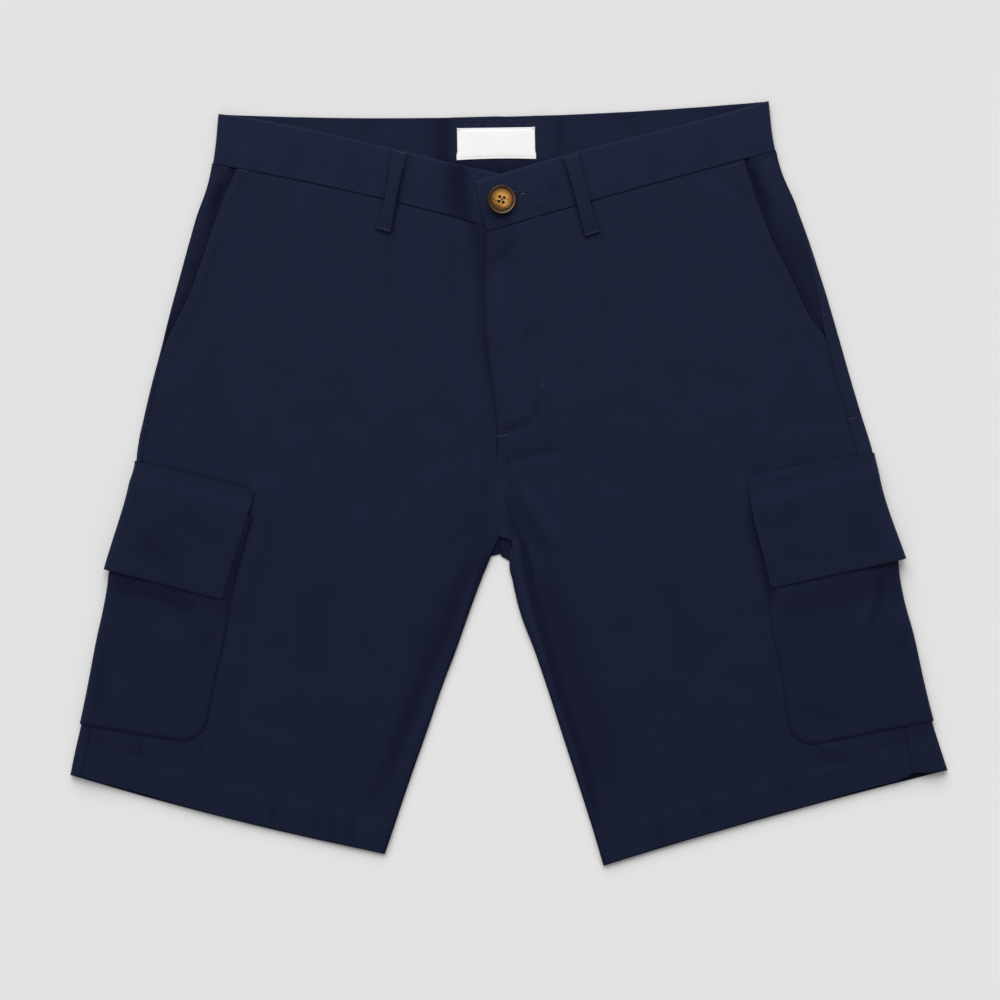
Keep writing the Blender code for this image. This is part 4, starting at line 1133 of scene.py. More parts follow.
# Stands for a place that no sewn row or rim is near
FAR_OFF = 60.0


def inseam_shade(half, down, shade):
    """A depth or width of the painted shade beside a half's inseam, at distances down."""
    return shade.least + shade.more * (1 - half.fly_lift) * fade((down - shade.fades) / shade.over)


def make_front(half, settings, finish):
    """From the slant pocket's edge and outseam over the top to the centre front and inseam."""
    step = settings.top_step / MM
    downs = spread(-0.4, half.hem, step, NEAR_SEAM, NEAR_EDGE)[0]
    path = spread(half.outer_path(downs), half.inner_path(downs), step, NEAR_EDGE, NEAR_INSEAM)
    down = np.broadcast_to(downs[:, None], path.shape)
    to_slant = path - half.outer_path(down) + FAR_OFF * (1 - half.slant_share(down))
    slant = half.slant_share(down)
    down = down - half.hem_gape(path) * ease(1 - (half.hem - down) / GAPE_REACH)
    from_inner = half.inner_path(down) - path
    leg = half.leg_share(down)
    fell = half.fly_lift * ease((down - FLY_CLOSED) / CLOSING) * (1 - leg)
    # Painted shade in the crease's hollows, beside the inseam where the back lies in shadow, at the waist and
    # side seams, beside the belt loop, the flap and the pocket, and above the flap; painted highlight on the
    # crease's ridge and on the felled centre seam's two rows.
    inseam = bell(from_inner / inseam_shade(half, down, INSEAM_WIDTH))
    inseam = inseam_shade(half, down, INSEAM_DEPTH) * inseam
    outseam = bell((path - half.outer_path(down)) / OUTSEAM_SHADE.reach)
    outseam = OUTSEAM_SHADE.depth * (1 - slant) * outseam
    flap, pocket = flap_shape(half), pocket_shape(half)
    relief = leg * (half.crease_height(down, from_inner) - inseam) + FELL_ROW_HIGHLIGHT * fell * fell_rows(from_inner)
    relief = relief - WAIST_SHADE.depth * bell(down / WAIST_SHADE.reach) - outseam
    relief = relief - LOOP_SHADE * beside_loop(half, down, path, CLOTH)
    relief = relief - flap.beside(down, path, BY_FLAP_SHADE) - pocket.beside(down, path, BY_POCKET_SHADE)
    relief = relief - OVER_FLAP_SHADE * flap.above(down, path)
    return cloth_piece(
        f"leg_front_{half.side}", f"front_panel_{half.side}", down, path, front_skin(half, down, path),
        settings.panel_wall, finish, half.turned, [f"leg_back_{half.side}"],
        folds=TOP_FOLDS, relief=relief, edge=to_slant, hem=half.hem - down,
    )


def make_back(half, settings, finish):
    """From the outseam round the side fold and along the floor to the seat seam and inseam."""
    downs = spread(-0.6, half.hem, 1.5 * settings.top_step / MM, NEAR_SEAM, NEAR_EDGE)[0]
    seam = np.maximum(half.seam_path(downs) + JOIN, 1.0)
    split = np.minimum(seam * 0.7, QUARTER)
    over = spread(seam, split, 2.0, NEAR_SEAM[:2])
    fold = split[:, None] + (-QUARTER - split)[:, None] * np.linspace(0, 1, 12)[None, 1:]
    reach = half.path_at(half.length("back", downs) + JOIN)
    under = spread(np.full_like(reach, -QUARTER), -reach, settings.floor_step / MM, (2.0,), (0.0, 3.0))
    path = np.concatenate([over, fold, under], axis=1)[:, ::-1]
    down = np.broadcast_to(downs[:, None], path.shape)
    down = down - half.hem_gape(path) * ease(path / QUARTER) * ease(1 - (half.hem - down) / GAPE_REACH)
    # Painted shadow on the floor side: near the hem, under the front's hem, and near the waist, under the
    # waistband.
    shaded = fade((half.hem - down) / 7) + fade(down / WAIST_RISE_FADE)
    return cloth_piece(
        f"leg_back_{half.side}", f"back_panel_{half.side}", down, path, back_skin(half, down, path),
        settings.panel_wall, finish, half.turned, ["floor"],
        folds=CROTCH_PAINTED_SHADE, relief=-FLOOR_SHADE * floor_side(path) * shaded, hem=half.hem - down,
    )


def make_facing(half, settings, finish):
    """The hip facing, seen between the side seam and the slant pocket's edge. It is painted in shade,
    deepest beside the pocket's edge that shadows it and lighter away from it near the waist."""
    downs = spread(GAP / 2, half.key["mouth_end"] + FACING_END, settings.top_step / MM, NEAR_SEAM)[0]
    seam = np.maximum(half.seam_path(downs), 1.0 + GAP / 2) + GAP
    mouth = half.path_at(half.front_edge(downs))
    path = spread(seam, mouth + FACING_TUCK, 1.6, NEAR_SEAM[:2])
    down = np.broadcast_to(downs[:, None], path.shape)
    from_mouth = mouth[:, None] - path
    paler = ease((from_mouth - 6) / 9) * fade((down - 48) / 30)
    reach = 1.5 + 1.2 * fade((down - 30) / 30)
    all_over, away, beside = FACING_SHADES[:, 0] + FACING_SHADES[:, 1] * half.fly_lift
    shade = all_over + away * paler + beside * bell((from_mouth - 0.5) / reach)
    return cloth_piece(
        f"pocket_facing_{half.side}", f"hip_facing_{half.side}", down, path,
        facing_skin(half, down, path), settings.panel_wall, finish, half.turned,
        [f"leg_back_{half.side}"], slot="navy_facing", folds=FACING_FOLDS, relief=-shade,
    )


def make_patch(shape, name, settings, finish, rests_on, cover=None):
    """A cargo pocket or flap with its rim rounded, with painted shadow beside the flap that covers it,
    or painted shade along its own upper edge.
    """
    side = shape.half.side
    down, path = shape.grid(0.85 * settings.top_step / MM, settings.floor_step / MM)
    if cover:
        shade = cover.beside(down, path, UNDER_FLAP_SHADE)
    else:
        shade = FLAP_TOP_SHADE.depth * bell((down - shape.top(path)) / FLAP_TOP_SHADE.reach)
    return cloth_piece(
        f"{name}_{side}", f"cargo_{name}_{side}", down, path, shape.skin(down, path),
        settings.patch_wall, finish, shape.half.turned, [f"{rests_on}_{side}", "floor"],
        round_off=PATCH_RIM, folds=shape.folds, relief=-shade, edge=shape.edge_distance(down, path),
    )


def half_band(half, downs, lap, settings):
    """Lengths along, points, and painted shade and highlight of a half of the waistband, from its front
    end to the middle of the back."""
    step = settings.top_step / MM
    reach = half.path_at(half.length("front", downs) + lap, BAND)
    front = spread(reach, np.full_like(reach, QUARTER), step, NEAR_SEAM)
    fold = np.broadcast_to(np.linspace(QUARTER, -QUARTER, 13)[1:], (len(downs), 12))
    back_reach = half.path_at(half.length("back", downs), BAND)
    back = spread(np.full_like(reach, -QUARTER), -back_reach, 1.5 * step, (2.0,))
    path = np.concatenate([front, fold, back], axis=1)
    down = np.broadcast_to(downs[:, None], path.shape)
    # Painted highlight along the upper fold, painted shade at the seam and beside the loop, and painted shade
    # over the back part seen from inside
    rim = BAND_RIM_HIGHLIGHT.depth * fade((down - half.key["band_top"]) / BAND_RIM_HIGHLIGHT.reach)
    rim = rim - BAND_SEAM_SHADE.depth * bell(down / BAND_SEAM_SHADE.reach)
    shade = ease(path / QUARTER) * (rim - LOOP_SHADE * beside_loop(half, down, path, BAND))
    behind = BACK_BAND_SHADE + BACK_BAND_SEAM_SHADE * ease(1 + down / 8)
    return path, band_skin(half, down, path), shade - ease(-path / QUARTER) * behind


def make_band(settings, finish):
    """One doubled strip from the lapped end round the left side, the back and the right side to
    the end tucked under it."""
    top = RIGHT.key["band_top"]
    downs = spread(top, -GAP / 2, 0.8 * settings.top_step / MM, (0.0, 0.9, 1.9), NEAR_SEAM[:3])[0]
    up = downs / top
    over_lap = BAND_LAP_WAIST + (BAND_LAP_TOP - BAND_LAP_WAIST) * up
    left_path, left, left_shade = half_band(LEFT, downs, over_lap, settings)
    right_path, right, right_shade = half_band(RIGHT, downs, UNDERLAP * up, settings)
    left[:, -1] = (left[:, -1] + right[:, -1]) / 2
    points = np.concatenate([left, right[:, -2::-1]], axis=1)
    middle = np.abs(left_path[:, -1:])
    run = np.concatenate([-left_path, 2 * middle + right_path[:, -2::-1]], axis=1)
    down = np.broadcast_to(downs[:, None], run.shape)
    behind = (run > -QUARTER) & (run < 2 * middle + QUARTER)
    # The back part is also painted in shade in the hollows of its folds
    relief = np.where(behind, fold_height(points[..., 0], points[..., 1], BACK_BAND_FOLDS), 0.0)
    return cloth_piece(
        "band", "waistband", down, run, points, settings.band_wall, finish, False,
        ["floor", "leg_front_left", "leg_front_right"], round_off=BAND_RIM, folds=BAND_FOLDS,
        relief=relief + np.concatenate([left_shade, right_shade[:, -2::-1]], axis=1),
        edge=np.where(behind, down - top, FAR_OFF),
    )


def find_on(surface, half, points, down, path):
    """Places on a half's surface from points seen from above: Newton's steps on its x and y from a
    first guess of the lengths down and along, with slopes taken over half a millimetre."""
    x, y = np.asarray(points, float).T
    down, path = np.full(x.shape, float(down)), np.full(x.shape, float(path))
    for _ in range(12):
        here = surface(half, down, path)
        by_down = (surface(half, down + 0.5, path) - here) * 2
        by_path = (surface(half, down, path + 0.5) - here) * 2
        miss_x, miss_y = x - here[..., 0], y - here[..., 1]
        scale = by_down[..., 0] * by_path[..., 1] - by_down[..., 1] * by_path[..., 0]
        down = down + (miss_x * by_path[..., 1] - miss_y * by_path[..., 0]) / scale
        path = path + (by_down[..., 0] * miss_y - by_down[..., 1] * miss_x) / scale
    return surface(half, down, path)


def on_front(half, points):
    """Places on a half's front from points seen from above."""
    return find_on(front_skin, half, points, 150, 180)


def on_band(points):
    """Places on the lapped waistband from points seen from above."""
    return find_on(band_skin, LEFT, points, -18, 200)


def loop_skin(half, down, offset):
    """Outer face of a belt loop: a strip over the waistband and the front, arched between its sewn
    ends as the sine of its share, and rounded down at its sides as the fourth power."""
    size = half.loop
    share = np.clip((down - size.starts) / (size.ends - size.starts), 0, 1)
    middle, half_width = loop_line(size, down)
    aside = offset / (size.width / 2)
    across = middle + aside * half_width
    points = band_skin(half, down, half.path_at(across, BAND))
    cloth = front_skin(half, np.maximum(down, 3.0), half.path_at(across))
    blend = ease(down / size.ends)
    under = points[..., 2] * (1 - blend) + cloth[..., 2] * blend
    arch = size.arch * np.sin(np.pi * share) ** 0.8
    turned = LOOP_TURNED * bell((np.abs(offset) - 3.2) / 1.1)
    points[..., 2] = under + GAP + LOOP + arch + turned - LOOP_ROUND * aside**4
    return points


def make_loop(half, settings, finish):
    """A belt loop of doubled twill."""
    size = half.loop
    down = spread(size.starts, size.ends, 0.9, NEAR_END, NEAR_END)[0]
    offset = np.linspace(-size.width / 2, size.width / 2, 17)
    down, offset = np.meshgrid(down, offset, indexing="ij")
    return cloth_piece(
        f"loop_{half.side}", f"belt_loop_{half.side}", down, offset, loop_skin(half, down, offset),
        settings.loop_wall, finish, half.turned, ["band"], round_off=BAND_RIM,
        edge=size.width / 2 - np.abs(offset),
    )


def label_edge(u, v):
    """Distance in from the label's nearest edge."""
    return np.minimum(LABEL_WIDE / 2 - np.abs(u), LABEL_HIGH / 2 - np.abs(v))


def label_skin(u, v):
    """Upper face of the label at places across and up from its middle: turned with the band, its
    lower edge bowed up in the middle and a little wider, its middle puffed up between its edges."""
    across = u * (1 + 0.022 * ease((-v - 5.5) / 3.0))
    up = v + 0.75 * ease(-v / (LABEL_HIGH / 2)) * (1 - np.square(2 * u / LABEL_WIDE))
    x = LABEL_PLACE[0] + across * math.cos(LABEL_TURN) - up * math.sin(LABEL_TURN)
    y = LABEL_PLACE[1] + across * math.sin(LABEL_TURN) + up * math.cos(LABEL_TURN)
    puff = 0.35 * (1 - (2 * u / LABEL_WIDE) ** 4) * (1 - (2 * v / LABEL_HIGH) ** 4)
    sewn = 0.2 * bell((label_edge(u, v) - LABEL_ROW) / 0.5)
    return np.stack([x, y, BAND + back_band_lift(x, y) + GAP + LABEL + puff - sewn], -1)


def make_label(settings, finish):
    """The blank woven label on the inside of the back waistband."""
    v = np.linspace(LABEL_HIGH / 2, -LABEL_HIGH / 2, 44)
    u = np.linspace(-LABEL_WIDE / 2, LABEL_WIDE / 2, 97)
    v, u = np.meshgrid(v, u, indexing="ij")
    return cloth_piece(
        "label", "waist_label", -v, u, label_skin(u, v), settings.label_wall, finish, False, ["band"],
        slot="white_label", round_off=LABEL_RIM, edge=label_edge(u, v),
    )


# Half section of the button from the edge of its flat middle over its raised rim to the middle of
# its domed back, as shares of its radius and thickness
Ring = namedtuple("Ring", "radius height")
BUTTON_RINGS = (
    Ring(0.45, 0.58), Ring(0.62, 0.63), Ring(0.73, 0.61), Ring(0.79, 0.54), Ring(0.825, 0.72),
    Ring(0.855, 0.93), Ring(0.89, 0.99), Ring(0.925, 0.92), Ring(0.965, 0.72), Ring(1.0, 0.50),
    Ring(0.97, 0.30), Ring(0.84, 0.10), Ring(0.50, 0.0), Ring(0.0, 0.0),
)
BUTTON_DISH = 0.50
BUTTON_STEPS = 128
PIT_DEPTH = 0.93
PIT_LIP = 0.22


def button_place(points):
    """Button points turned and tilted as its thread lets it lie, and set on the lapped band."""
    c, s = math.cos(BUTTON_TURN), math.sin(BUTTON_TURN)
    spin = np.array([[c, -s, 0], [s, c, 0], [0, 0, 1]])
    c, s = math.cos(BUTTON_TILT), math.sin(BUTTON_TILT)
    lean = np.array([[c, 0, s], [0, 1, 0], [-s, 0, c]])
    height = on_band([BUTTON_PLACE])[0, 2] + GAP + 0.7 * BUTTON_RADIUS * s
    return points @ (spin @ lean).T + np.array([*BUTTON_PLACE, height])


def button_pits(x, y):
    """1 inside the four holes and 0 outside, with a rounded lip between."""
    away = np.hypot(np.abs(x) - BUTTON_HOLE_OFFSET, np.abs(y) - BUTTON_HOLE_OFFSET)
    return fade((away - BUTTON_HOLE + PIT_LIP) / (2 * PIT_LIP))


def make_button(finish):
    """The turned four-hole button: a half section carried round, with the holes sunk into its
    dished middle."""
    rim, height = BUTTON_RINGS[0]
    radius = np.linspace(0, rim, 36)[:-1]
    inner = np.stack([radius, BUTTON_DISH + (height - BUTTON_DISH) * ease(radius / rim)], -1)
    rings = np.concatenate([inner, along_line(BUTTON_RINGS, 46)])
    angle = np.linspace(0, 2 * math.pi, BUTTON_STEPS, endpoint=False)
    radius = rings[:, :1] * BUTTON_RADIUS
    x, y = radius * np.cos(angle), radius * np.sin(angle)
    pits = button_pits(x, y) * (np.arange(len(rings)) < len(inner) + 4)[:, None]
    z = rings[:, 1:] * BUTTON_THICK * (1 - PIT_DEPTH * pits)
    points = button_place(np.stack([x, y, z], -1).reshape(-1, 3))
    corner = np.arange(len(rings) - 1)[:, None] * BUTTON_STEPS + np.arange(BUTTON_STEPS)[None, :]
    following = np.roll(corner, -1, axis=1)
    faces = np.stack([corner, corner + BUTTON_STEPS, following + BUTTON_STEPS, following], -1)
    obj = add_mesh(
        "button", points, faces.reshape(-1, 4), finish, "brown_horn",
        uv=np.stack([x, y], -1), ring=np.repeat(rings[:, :1], BUTTON_STEPS, axis=1), pit=pits,
    )
    obj.modifiers.new("poles", "WELD").merge_threshold = 0.000002
    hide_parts("waist_button")
    return obj


def capsules(starts, ends, radius):
    """Stitches as capsules: each has a tip at both ends and two rings of four points a sixth of the
    length in from them. Returns points and triangles that face out."""
    run = ends - starts
    unit = run / np.linalg.norm(run, axis=1, keepdims=True)
    side = np.cross(unit, np.array([0.0, 0.0, 1.0]))
    flat = np.linalg.norm(side, axis=1, keepdims=True) < 0.05
    side = np.where(flat, np.array([1.0, 0.0, 0.0]), side)
    side = side / np.linalg.norm(side, axis=1, keepdims=True)
    over = np.cross(side, unit)
    angle = np.arange(4) * math.pi / 2
    ring = radius * (np.cos(angle)[:, None] * side[:, None] + np.sin(angle)[:, None] * over[:, None])
    first = (starts + run / 6)[:, None] + ring
    second = (ends - run / 6)[:, None] + ring
    points = np.concatenate([starts[:, None], first, second, ends[:, None]], axis=1)
    k = np.arange(4)
    after = (k + 1) % 4
    zero, nine = np.zeros(4, int), np.full(4, 9)
    one = np.concatenate([
        np.stack([zero, 1 + k, 1 + after], -1),
        np.stack([1 + k, 5 + k, 5 + after], -1),
        np.stack([1 + k, 5 + after, 1 + after], -1),
        np.stack([nine, 5 + after, 5 + k], -1),
    ])
    faces = one[None] + 10 * np.arange(len(starts))[:, None, None]
    return points.reshape(-1, 3), faces.reshape(-1, 3)


def outwards(turned, path):
    """Unit directions away from the cloth: sideways at the fold, up over the top, down below it."""
    turn = quarter_turn(path)
    sideways = 1.0 if turned else -1.0
    return np.stack([sideways * np.cos(turn), np.zeros_like(turn), np.sin(turn)], -1)


# How far the middle of the thread lies above the cloth's face
ROW_LIFT = -0.18
HEM_LIFT = -0.08
PATCH_LIFT = -0.20
FLAP_LIFT = -0.06
FLAP_TOP_LIFT = -0.04

# Bar tacks: distance between their strands, and the strands' radius
TACK_SPACING = 0.36
TACK_RADIUS = 0.2


class Sewing:
    """Collects stitches, each from a start to an end point, and joins them into one mesh."""

    def __init__(self, settings):
        self.length = settings.stitch_length / MM
        self.gap = settings.stitch_gap / MM
        self.radius = settings.thread_radius / MM
        self.parts = []

    def row(self, points, lift=ROW_LIFT):
        """Even stitches along a line of points, raised a little off it."""
        points = points + np.array([0.0, 0.0, lift])
        run = np.concatenate([[0.0], np.cumsum(np.linalg.norm(np.diff(points, axis=0), axis=1))])
        pitch = self.length + self.gap
        count = max(int((run[-1] - self.length) / pitch) + 1, 1)
        starts = (run[-1] - (count - 1) * pitch - self.length) / 2 + np.arange(count) * pitch
        first = np.stack([np.interp(starts, run, column) for column in points.T], -1)
        last = np.stack([np.interp(starts + self.length, run, column) for column in points.T], -1)
        self.strands(first, last)

    def sewn(self, skin, owner, down, path, lift=ROW_LIFT):
        """A row on the skin of a half or a patch, along lengths down and along."""
        down, path = np.broadcast_arrays(np.asarray(down, float), np.asarray(path, float))
        self.row(skin(owner, down, path) + lift * outwards(owner.turned, path), 0.0)

    def strands(self, starts, ends, radius=None):
        """Separate strands from starts to ends."""
        self.parts.append(capsules(starts, ends, radius or self.radius))

    def tack(self, start, end, width):
        """A bar tack between two points: close strands across it, each leaning to the next."""
        run = end - start
        length = np.linalg.norm(run)
        across = np.cross(run / length, np.array([0.0, 0.0, 1.0])) * width / 2
        share = np.linspace(0, 1, max(int(length / TACK_SPACING), 3))[:, None]
        middle = start + run * share + np.array([0.0, 0.0, 0.25])
        lean = run / length * TACK_SPACING / 2
        self.strands(middle - across - lean, middle + across + lean, TACK_RADIUS)

    def join(self, name, finish, slot="navy_twill"):
        """One mesh of all the stitches."""
        shift = np.cumsum([0] + [len(points) for points, _ in self.parts[:-1]])
        points = np.concatenate([points for points, _ in self.parts])
        faces = np.concatenate([faces + move for (_, faces), move in zip(self.parts, shift)])
        return add_mesh(name, points, faces, finish, slot)


# Topstitching: rows in from an edge
EDGE_ROW = 1.6
WIDE_ROW = 6.6
FLAP_ROW = WIDE_ROW - 0.8
SLANT_ROWS = (1.7, 7.4)
HEM_ROW = 24.0
CENTRE_ROWS = (0.9, 4.6)
OUTSEAM_ROW = 5.6
LOOP_ROW = 3.9
BACK_BAND_ROWS = (5.2,)

# The fly's J and the tacks, seen from above
FLY_STITCH = (
    (25.0, 196), (25.0, 150), (25.0, 100), (24.8, 66), (21.8, 54.5), (15.6, 48.2), (8.0, 42.0),
    (-8.6, 37.6),
)
Tack = namedtuple("Tack", "half start end width")
TACKS = (
    Tack(LEFT, (-8.6, 34.9), (-1.6, 35.3), 1.7),
    Tack(LEFT, (25.6, 78.5), (25.7, 70.0), 1.5),
    Tack(RIGHT, (-203.6, 236.0), (-197.6, 235.0), 1.7),
    Tack(LEFT, (168.4, 238.6), (173.6, 240.6), 1.5),
    Tack(RIGHT, (-275.2, 43.2), (-273.0, 42.4), 1.5),
    Tack(LEFT, (263.0, 48.6), (257.2, 47.4), 1.6),
)

# Thread ends at the sides of the loops: distances down and from the middle
LOOP_ENDS = ((RIGHT, -26.6, 5.2), (LEFT, -28.5, -5.6))
LOOP_TACK_INSET = 1.6
LOOP_TACK_WIDTH = 1.2

# Rows on the back waistband just above the label
LABEL_ROWS = (2.0, 3.5, 5.3)
LABEL_STITCH = 7.0

# Length and gap of the stitches round the label
LABEL_SEWN = (1.9, 0.7)


def sew_fronts(sewing, half):
    """Slant pocket, side seam, centre seam and hem rows, and the hem's row on the back."""
    slant = np.linspace(4.0, half.key["mouth_end"] - 1.0, 150)
    for offset in SLANT_ROWS:
        sewing.sewn(front_skin, half, slant, half.outer_path(slant) + offset)
    side_seam = np.linspace(half.key["mouth_end"] + 4, half.hem - 2, 300)
    sewing.sewn(front_skin, half, side_seam, half.outer_path(side_seam) + OUTSEAM_ROW)
    centre = np.linspace(FLY_CLOSED + 26, half.key["fork"] - 3, 50)
    for offset in CENTRE_ROWS if half.turned else ():
        sewing.sewn(front_skin, half, centre, half.inner_path(centre) - offset)
    hem = half.hem - HEM_ROW
    hem_path = np.linspace(half.outer_path(hem) + 1, half.inner_path(hem) - 1, 260)
    sewing.sewn(front_skin, half, hem, hem_path, HEM_LIFT)
    back_end = half.path_at(half.length("back", hem) - GAP)
    back = np.linspace(half.seam_path(hem) - GAP, 1 - back_end, 300)
    sewing.sewn(back_skin, half, hem, back, HEM_LIFT)


def sew_patch(sewing, shape, rows, top_gap, lift=PATCH_LIFT):
    """Rows round the front, lower and back edges of a pocket or flap."""
    for offset in rows:
        down, path = shape.seam_line(offset, top_gap)
        sewing.sewn(PatchShape.skin, shape, down, path, lift)


def sew_legs(settings, finish):
    """Topstitching of the fronts."""
    sewing = Sewing(settings)
    for half in HALVES:
        sew_fronts(sewing, half)
    sewing.row(on_front(LEFT, along_line(FLY_STITCH, 160)))
    return sewing.join("sewing_fronts", finish)


def sew_tacks(settings, finish):
    """Bar tacks of the fly, pocket mouths and belt loops, and rows above the label, in the tack thread,
    its paleness a painted highlight.
    """
    sewing = Sewing(settings)
    for tack in TACKS:
        sewing.tack(*on_front(tack.half, (tack.start, tack.end)), tack.width)
    for half in HALVES:
        size = half.loop
        for end in (size.starts + LOOP_TACK_INSET, size.ends - LOOP_TACK_INSET):
            ends = loop_skin(half, np.full(2, end), np.array([-0.46, 0.46]) * size.width)
            sewing.tack(*ends, LOOP_TACK_WIDTH)
    for half, down, offset in LOOP_ENDS:
        ends = loop_skin(half, np.array([down, down + 0.5]), offset + np.array([-0.9, 0.9]))
        sewing.strands(ends[:1] + 0.1, ends[1:] + 0.1, 0.35)
    sewing.length = LABEL_STITCH
    for up in LABEL_ROWS:
        u = np.linspace(-LABEL_WIDE / 2 + up, LABEL_WIDE / 2, 60)
        line = label_skin(u, np.full(60, LABEL_HIGH / 2))
        line[:, 1] += up
        line[:, 2] = BAND + back_band_lift(line[:, 0], line[:, 1])
        sewing.row(line, HEM_LIFT)
    return sewing.join("sewing_tacks", finish)


def sew_pockets(settings, finish):
    """Two rows round each cargo pocket, one round each flap and one under its upper edge."""
    sewing = Sewing(settings)
    for half in HALVES:
        sew_patch(sewing, pocket_shape(half), (EDGE_ROW, WIDE_ROW), 2.0)
        flap = flap_shape(half)
        sew_patch(sewing, flap, (FLAP_ROW,), WIDE_ROW, FLAP_LIFT)
        path = np.linspace(flap.front - WIDE_ROW, flap.back + WIDE_ROW, 240)
        sewing.sewn(PatchShape.skin, flap, flap.top(path) + FLAP_ROW, path, FLAP_TOP_LIFT)
    return sewing.join("sewing_pockets", finish)


def sew_band(settings, finish):
    """The row under the back waistband's upper edge, seen from inside, and the loops' rows."""
    sewing = Sewing(settings)
    for half in HALVES:
        top = half.key["band_top"]
        for row in BACK_BAND_ROWS:
            path = -np.linspace(QUARTER + 14, half.path_at(half.length("back", top), BAND), 200)
            points = band_skin(half, np.full(path.shape, top + row), path)
            sewing.row(points + np.array([0.0, 0.0, BAND]))
        down = np.linspace(half.loop.starts + 1.5, half.loop.ends - 1.5, 60)
        for offset in (-LOOP_ROW, LOOP_ROW):
            sewing.row(loop_skin(half, down, np.full(down.shape, offset)))
    return sewing.join("sewing_band", finish)


def sew_label(settings, finish):
    """White stitches round the label, and a longer one across each upper corner."""
    sewing = Sewing(settings)
    sewing.length, sewing.gap = LABEL_SEWN
    u, v = LABEL_WIDE / 2 - LABEL_ROW, LABEL_HIGH / 2 - LABEL_ROW
    corners = np.array([(-u, v), (u, v), (u, -v), (-u, -v), (-u, v)])
    for start, end in zip(corners, corners[1:]):
        line = start + (end - start) * np.linspace(0, 1, 60)[:, None]
        sewing.row(label_skin(*line.T))
    ears = np.array([(-u - 1.5, v + 1.6), (u + 1.5, v + 1.6)])
    inner = np.array([(-u + 0.6, v - 0.4), (u - 0.6, v - 0.4)])
    lift = np.array([0.0, 0.0, 0.1])
    sewing.strands(label_skin(*inner.T) + lift, label_skin(*ears.T) + lift, 0.3)
    return sewing.join("sewing_label", finish, "white_label")


# Buttonhole, seen from above: from under the button to the eyelet by the band's end
SLIT_START = np.array([-3.6, 217.3])
SLIT_END = np.array([15.9, 219.3])
SLIT_LENGTH = math.dist(SLIT_START, SLIT_END)
SLIT_RUN = (SLIT_END - SLIT_START) / SLIT_LENGTH
SLIT_UP = np.array([-SLIT_RUN[1], SLIT_RUN[0]])
SLIT_WIDTH = 0.4
SLIT_LIFT = 0.05
EYELET_RADIUS = 0.85
PURL_WIDTH = 1.7
PURL_SPACING = 0.42
PURL_LIFT = -0.04

# The button's cross of thread: how far it bows up, sinks into the holes and lifts where the second
# strands lie over the first ones, and the strands' radius
CROSS_BOW = 0.62
CROSS_SINK = 0.5
CROSS_OVER = 0.32
CROSS_RADIUS = 0.12

# The button thread's end, lying in the buttonhole
THREAD_END = ((9.4, 217.9), (10.6, 218.3), (12.3, 218.5))


def slit_edge(offset, count):
    """Half of a line round the slit at an offset, from its start: along its upper side and round
    the eyelet. Returns the line and its outward directions."""
    share = np.linspace(0, 1, count)[:, None]
    straight = (SLIT_END - SLIT_RUN * EYELET_RADIUS - SLIT_START) * share + SLIT_UP * offset
    turn = np.linspace(math.pi / 2, 0, count // 3)[1:, None]
    around = SLIT_RUN * np.cos(turn) + SLIT_UP * np.sin(turn)
    middle = SLIT_RUN * (SLIT_LENGTH - 0.2)
    line = np.concatenate([straight, middle + (EYELET_RADIUS + offset - SLIT_WIDTH) * around])
    return line, np.concatenate([np.repeat(SLIT_UP[None], count, 0), around])


def sew_buttonhole(settings, finish):
    """The purl round the buttonhole: close strands across its edge on both sides and round the
    eyelet, the lower half mirrored in the slit."""
    sewing = Sewing(settings)
    line, away = slit_edge(SLIT_WIDTH, int(SLIT_LENGTH / PURL_SPACING))
    lift = np.array([0.0, 0.0, PURL_LIFT])
    for mirrored in (0, 2):
        flip = np.eye(2) - mirrored * np.outer(SLIT_UP, SLIT_UP)
        inner = SLIT_START + line @ flip
        outer = inner + away @ flip * PURL_WIDTH
        sewing.strands(on_band(inner) + lift, on_band(outer) + lift, 0.25)
    return sewing.join("sewing_buttonhole", finish)


def make_slit(finish):
    """The buttonhole's opening as a dark sheet of painted shade: a lens between its two sides, widened at
    the eyelet as a circle, a hair over the band."""
    from_end = np.linspace(1, 0, 40)[:, None] * SLIT_LENGTH
    eyelet = np.sqrt(np.clip(0.6 - np.square(from_end - 0.8), 0, None))
    offset = np.linspace(1, -1, 5) * np.maximum(SLIT_WIDTH * 0.8, eyelet)
    points = SLIT_END - SLIT_RUN * from_end[..., None] + SLIT_UP * offset[..., None]
    raised = on_band(points.reshape(-1, 2)) + np.array([0.0, 0.0, SLIT_LIFT])
    faces = grid_faces(40, 5, True)
    obj = add_mesh("buttonhole_slit", raised, faces, finish, "navy_twill")
    return add_wall(obj, 0.0002)


def sew_button(settings, finish):
    """The thread that holds the button: strands from hole to hole crossing in the middle, bowed
    over the dish, and its end in the buttonhole."""
    sewing = Sewing(settings)
    share = np.linspace(-1, 1, 9)
    bow = 1 - share**2
    height = BUTTON_THICK * BUTTON_DISH + CROSS_BOW * bow - CROSS_SINK * share**6
    ends = on_band(THREAD_END)
    for shift in (-0.3, 0.1):
        place = np.array([0.0, shift, 0.25])
        sewing.strands(ends[:-1] + place, ends[1:] + place, 0.26)
    for rise, side in ((0.0, 1.0), (CROSS_OVER, -1.0)):
        for shift in (-0.1, 0.1):
            x = share * BUTTON_HOLE_OFFSET + shift * 0.7
            y = side * (share * BUTTON_HOLE_OFFSET - shift * 0.7)
            line = button_place(np.stack([x, y, height + rise * bow], -1))
            sewing.strands(line[:-1], line[1:] + np.diff(line, axis=0) * 0.25, CROSS_RADIUS)
    return sewing.join("sewing_button", finish)


